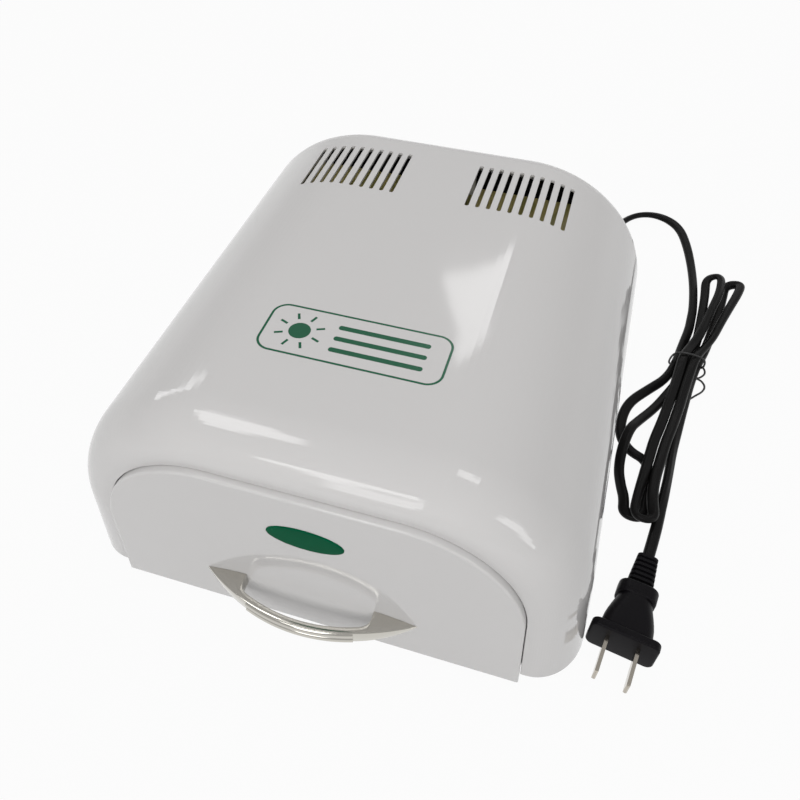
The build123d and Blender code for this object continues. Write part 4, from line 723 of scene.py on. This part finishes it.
def oval_badge(x=1.3, z=69.1, half_wide=15.1, half_tall=6.3, thick=0.5, count=72):
    """Thin oval plate with a rounded edge and a slightly domed front."""
    made = bmesh.new()
    rows = []
    turns = [2 * pi * k / count for k in range(count)]
    for share, out in ((1, 0), (1, 0.55), (0.985, 0.8), (0.95, 0.9), (0.8, 0.95), (0.5, 0.99),
                       (0.1, 1)):
        rows.append([made.verts.new(spot(x + half_wide * share * cos(a), FACE_PLANE - thick * out,
                                         z + half_tall * share * sin(a))) for a in turns])
    skinned(made, rows)
    return hand_over(made, "oval_badge", smooth=True, sharp=50)


drawer_plate, badge = drawer_face(), oval_badge()

# ------------------------------------------------------------------------- handle
HANDLE_Z, HANDLE_TALL, HANDLE_TIP = 26.3, 6.6, 0.8
SPAN, REACH, STEP, BAR = 44.8, 16.2, 1.2, 3.8       # half span, depth, ribs' step, thickness
BODY_REACH = REACH - STEP
BOW = (SPAN ** 2 + REACH ** 2) / (2 * REACH)        # radius round the ribs' front
BODY_BOW = (SPAN ** 2 + BODY_REACH ** 2) / (2 * BODY_REACH)
RIB, RIB_HALF = 1.6, 22.0                           # radius, and half length along x
GRIP, GRIP_CORNER = 27.1, 5.0                       # finger gap's half width and corners
BOW_CENTRE = FACE_PLANE - REACH + BOW


def leaf(x):
    """Half the handle's height: even along its ribs, then tapering to its tips."""
    out = max(0.0, abs(x) - RIB_HALF)
    run, fall = SPAN - RIB_HALF, (HANDLE_TALL - HANDLE_TIP) / 2
    bend = (run ** 2 + fall ** 2) / (2 * fall)
    return HANDLE_TALL / 2 - (bend - sqrt(bend ** 2 - out ** 2))


def outer_bow(x):
    """Front of the bar behind its ribs."""
    return FACE_PLANE - BODY_REACH + BODY_BOW - sqrt(BODY_BOW ** 2 - x ** 2)


def inner_bow(x):
    """Back of the bar, with the finger gap's rounded corners."""
    radius = BOW - BAR
    corner_x = GRIP - GRIP_CORNER
    corner_y = BOW_CENTRE - sqrt((radius - GRIP_CORNER) ** 2 - corner_x ** 2)
    touch = corner_x * radius / (radius - GRIP_CORNER)
    if abs(x) <= touch:
        return BOW_CENTRE - sqrt(radius ** 2 - x ** 2)
    return corner_y - sqrt(max(0.0, GRIP_CORNER ** 2 - (abs(x) - corner_x) ** 2))


def pull_handle():
    """Bowed bar with leaf-shaped ends, and two ribs over its front."""
    made = bmesh.new()
    steps = [i / 2 for i in range(-53, 54)]
    close = [way * x for way in (-1, 1) for x in (26.8, 26.95, 27.05, GRIP)]
    middle = sorted(steps + close)
    ends = [GRIP + (SPAN - GRIP) * i / 24 for i in range(25)]

    def post(x, behind, way):
        return made.verts.new(spot(x, behind, HANDLE_Z + way * leaf(x)))

    def run(stations, back):
        rows = [[post(x, outer_bow(x), 1), post(x, back(x), 1), post(x, back(x), -1),
                 post(x, outer_bow(x), -1)] for x in stations]
        skinned(made, rows, capped=False)
        return rows

    bar = run(middle, inner_bow)
    for way, near in ((1, bar[-1]), (-1, bar[0])):
        rows = run([way * x for x in ends], lambda x: FACE_PLANE)
        made.faces.new(rows[-1])
        made.faces.new((near[1], rows[0][1], rows[0][2], near[2]))
    body = hand_over(made, "pull_handle")
    bevel = body.modifiers.new("edges", "BEVEL")
    bevel.width, bevel.segments = 0.35 * MM, 3
    bevel.limit_method, bevel.angle_limit = "ANGLE", radians(40)
    apply_all(body)
    made = bmesh.new()
    made.from_mesh(body.data)
    bpy.data.objects.remove(body)
    reach = asin(RIB_HALF / (BOW - RIB))
    round_rib = [(RIB * cos(2 * pi * k / 24), RIB * sin(2 * pi * k / 24)) for k in range(24)]
    for way in (-1, 1):
        hub = Vector((0, BOW_CENTRE, HANDLE_Z + way * (HANDLE_TALL / 2 - RIB)))
        rings = []
        for turn in (reach * (i / 40 - 1) for i in range(81)):
            out = Vector((sin(turn), -cos(turn), 0))
            core = hub + out * (BOW - RIB)
            rings.append([made.verts.new(spot(*(core + out * ahead + Vector((0, 0, up)))))
                          for ahead, up in round_rib])
        skinned(made, rings)
    return hand_over(made, "pull_handle", smooth=True, sharp=30)


handle = pull_handle()

# --------------------------------------------------------------------------- plug
PLUG_SIDE = Vector((-cos(PLUG_TURN), sin(PLUG_TURN), 0))
PLUG_FRAME = (Matrix.Translation(spot(*PLUG))
              @ Matrix((PLUG_SIDE, PLUG_AXIS.cross(PLUG_SIDE), PLUG_AXIS)).transposed().to_4x4()
              @ Matrix.Scale(MM, 4))
RIBS_FROM, RIB_PITCH = 29.4, 17.6 / 6.5             # seven ribs with six and a half steps


def rounded(wide, tall, corner, turns=7):
    """A rounded oblong's outline."""
    points = []
    for quarter, (way_x, way_y) in enumerate(((1, 1), (-1, 1), (-1, -1), (1, -1))):
        for i in range(turns + 1):
            angle = radians(90 * quarter + 90 * i / turns)
            points.append((way_x * (wide / 2 - corner) + corner * cos(angle),
                           way_y * (tall / 2 - corner) + corner * sin(angle)))
    return points


def lofted(made, sections, place):
    """A solid through rounded oblongs: each is distance, width, height and corner."""
    rings = [[made.verts.new(place @ Vector((x, y, at))) for x, y in rounded(wide, tall, corner)]
             for at, wide, tall, corner in sections]
    skinned(made, rings)


def softened(start, end, wide, tall, corner, edge=0.9, turns=5):
    """Sections of a block whose two ends are rounded by `edge`."""
    sections = []
    for i in range(turns + 1):
        drawn = edge * (1 - sin(pi / 2 * i / turns))
        sections.append((start + edge * (1 - cos(pi / 2 * i / turns)), wide - 2 * drawn,
                         tall - 2 * drawn, max(0.4, corner - drawn)))
    return sections + [(start + end - at, w, t, c) for at, w, t, c in sections[::-1]]


def plug_moulding():
    """Flange, domed body, collar and ribbed strain relief, in one moulding."""
    made = bmesh.new()
    lofted(made, softened(0, 3.9, 28.2, 16.4, 3.2), PLUG_FRAME)
    body = [(3.0, 21.0, 13.8, 4.0), (3.9, 21.4, 14.0, 4.2), (6.0, 21.4, 14.0, 4.4),
            (10.0, 20.7, 13.6, 4.6), (13.0, 19.6, 13.3, 4.8), (16.0, 18.1, 13.0, 5.0),
            (19.5, 16.2, 12.5, 5.2), (22.6, 14.6, 12.0, 5.2), (23.2, 14.4, 11.6, 5.2)]
    lofted(made, body, PLUG_FRAME)
    lofted(made, softened(22.6, RIBS_FROM, 17.0, 12.6, 4.6, 1.1), PLUG_FRAME)
    lofted(made, [(28.4, 9.6, 6.2, 2.0), (44.5, 7.2, 4.8, 1.8)], PLUG_FRAME)
    blocks(made, PLUG_FRAME @ Matrix.Translation((0, 0, RIBS_FROM)), "plug", Count=7,
           Step=(0, 0, RIB_PITCH), Wide=11.5, Long=8.0, Deep=RIB_PITCH / 2, Corner=2.6, Last=0.79)
    return hand_over(made, "plug_moulding", smooth=True, sharp=32)


plug_body = plug_moulding()

# ------------------------------------------------------------------------ wire tie
TIE_RADIUS, TIE_SIDES = 0.55, 12
TIE_ROUTE = [(143.5, 202.6, 0.6), (136, 202.4, 0.6), (134.6, 202.2, 2.2), (134.7, 202, 6),
             (135.8, 201.9, 9.6), (139, 201.8, 11.6), (146, 201.8, 11.4), (151.6, 201.9, 9.8),
             (153.1, 202, 6.6), (152.9, 202.2, 2.4), (151.4, 204.5, 0.6), (150.6, 206.5, 0.6),
             (153.8, 205.5, 0.6), (155.2, 200.5, 0.6), (152, 196, 0.6), (149.8, 195.2, 0.7),
             (153.2, 194.2, 0.6), (155.3, 190, 0.6), (153.6, 185.4, 0.6), (150.6, 182.2, 0.6),
             (147.8, 178.6, 0.6)]
tie_section = [(TIE_RADIUS * cos(2 * pi * k / TIE_SIDES), TIE_RADIUS * sin(2 * pi * k / TIE_SIDES))
               for k in range(TIE_SIDES)]
wire_tie = tube("wire_tie", along(TIE_ROUTE, 8), tie_section, lambda share: 0.0)

# --------------------------------------------------------------------- dress it all
nodes = frame["nodes"]
for piece, slot, body, *stands_for in (
        (casing_shell, "casing", "housing", "top_shell"),
        (drawer_plate, "casing", "drawer", "drawer_front"),
        (handle, "chrome", "drawer", "handle"),
        (badge, "badge", "drawer", "front_badge"),
        (plug_body, "plug", "housing", "plug_body"),
        (wire_tie, "tie", "housing", "cord_tie"),
        (mains_lead, "cord", "housing", "cord_lead", "cord_hank", "cord_tail")):
    dress(piece, slot)
    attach(piece, body)
    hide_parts(*stands_for)

for part in frame["record"]["subparts"]:
    for holder in nodes[part["node"]].material_slots:
        holder.material = FINISHES[part["material_slot"]].material

tuple(spot(*GLAND))

# ----------------------------------------------------------------- floor and lights


def lookers(nodes):
    """Two wires: one for rays from the eye, and one that also counts mirrored rays."""
    rays = nodes.add("ShaderNodeLightPath").outputs
    eye, mirror, through = (Wire(nodes, rays[f"Is {kind} Ray"])
                            for kind in ("Camera", "Glossy", "Transmission"))
    return eye, eye.most(mirror).most(through)


def white_light(nodes, strength):
    light = nodes.add("ShaderNodeEmission", values={"Color": (1.0, 1.0, 1.0), "Strength": strength})
    return light.outputs[0]


def surface(nodes, shader):
    nodes.tree.links.new(shader, nodes.tree.nodes["Material Output"].inputs[0])


def panel(name, corners):
    """A flat face of the room round the unit, its corners in millimetres."""
    mesh = bpy.data.meshes.new(name)
    mesh.from_pydata([tuple(Vector(c) * MM) for c in corners], [], [tuple(range(len(corners)))])
    made = put(bpy.data.objects.new(name, mesh))
    material = bpy.data.materials.new(name)
    material.use_nodes = True
    mesh.materials.append(material)
    return made, material


# The table is pale to the light that it gathers, and nearly white to the eye.
TABLE_HALF = 6000
_, table_top = panel("table", [(x * TABLE_HALF, y * TABLE_HALF, 0)
                               for x, y in ((-1, -1), (1, -1), (1, 1), (-1, 1))])
top = Nodes(table_top.node_tree)
pale_top = top.add("ShaderNodeBsdfDiffuse", values={"Color": (0.42, 0.42, 0.42)})
surface(top, top.wire("ShaderNodeMixShader", {0: lookers(top)[1] * 0.95, 1: pale_top.outputs[0],
                                              2: white_light(top, 1.0)}).socket)

# The room is white to the eye, greyer towards its ceiling in mirrors, and dim as a light.
world = bpy.data.worlds.new("studio")
scene.world = world
world.use_nodes = True
sky = Nodes(world.node_tree)
eye, seen = lookers(sky)
way = sky.add("ShaderNodeTexCoord").outputs["Generated"]
height = Wire(sky, sky.add("ShaderNodeSeparateXYZ", values={"Vector": way}).outputs["Z"])
low_down = (1.0 - height * 2.6).held()
mirrored = 0.56 + low_down * low_down * 0.36
backdrop = world.node_tree.nodes["Background"]
sky.join((1.0, 1.0, 1.0), backdrop.inputs["Color"])
sky.join(eye + (seen - eye).held() * mirrored + (1.0 - seen) * 0.32, backdrop.inputs["Strength"])


def soft_light(name, place, wide, deep, watts):
    """A lamp aimed at the unit, which nothing mirrors; its place and size are in metres."""
    lamp = bpy.data.lights.new(name, "AREA")
    lamp.shape, lamp.size, lamp.size_y, lamp.energy = "RECTANGLE", wide, deep, watts
    made = put(bpy.data.objects.new(name, lamp))
    made.visible_glossy = False
    aim = (Vector((0, 0, 0.05)) - Vector(place)).to_track_quat("-Z", "Y")
    made.matrix_world = Matrix.Translation(place) @ aim.to_matrix().to_4x4()


soft_light("overhead", (0.1, 0.3, 1.7), 1.2, 1.2, 5.5)
soft_light("rear", (0.0, 1.7, 1.0), 1.4, 1.0, 8.0)
soft_light("front", (0.15, -1.6, 1.35), 1.4, 1.4, 31.0)


def gloss_pane(name, strength, corners):
    """A bright pane that only mirrors see; its corners are in millimetres from the rim."""
    pane, glow = panel(name, [(x, behind + RIM, z) for x, behind, z in corners])
    pane.visible_camera = pane.visible_diffuse = pane.visible_shadow = False
    nodes = Nodes(glow.node_tree)
    surface(nodes, white_light(nodes, strength))


gloss_pane("window_behind", 4.2, [(-283, 1569, 1291), (-207, 1587, 1278), (-158, 1609, 1257),
    (63, 1657, 1224), (89, 1617, 1273), (91, 1562, 1338), (153, 1490, 1430), (-196, 1412, 1485),
    (-203, 1476, 1409), (-249, 1524, 1348)])
gloss_pane("window_left", 5.0, [(-1103, 453, 1660), (-813, 545, 1764), (-700, 559, 1809),
    (-546, 386, 1906), (-548, 242, 1933), (-704, 118, 1891), (-818, 86, 1849)])
gloss_pane("strip_front", 5.0, [(-656, -800, 1718), (-457, -740, 1798), (-311, -752, 1824),
    (-5, -894, 1813), (20, -1122, 1688), (-302, -1042, 1660), (-448, -1070, 1611),
    (-655, -961, 1626)])
gloss_pane("window_front", 3.4, [(-466, -1129, 1604), (-327, -1179, 1580), (19, -1135, 1707),
    (16, -1573, 1216), (-327, -1721, 973), (-448, -1656, 1019)])
gloss_pane("lamp_right", 4.5, [(375, 668, 1886), (643, 702, 1779), (920, 611, 1710),
    (833, 437, 1798), (556, 482, 1883)])
gloss_pane("window_right", 4.0, [(1383, -398, 1552), (1633, -192, 1196), (1733, -114, 1051),
    (2003, -581, 360), (1826, -568, 683), (1589, -527, 1125)])
gloss_pane("door_left", 4.0, [(-1660, 889, 664), (-1618, 908, 744), (-1272, 1104, 1085),
    (-1137, 1122, 1225), (-1169, 1101, 1210), (-1385, 1050, 966), (-1665, 719, 854),
    (-1708, 702, 771)])
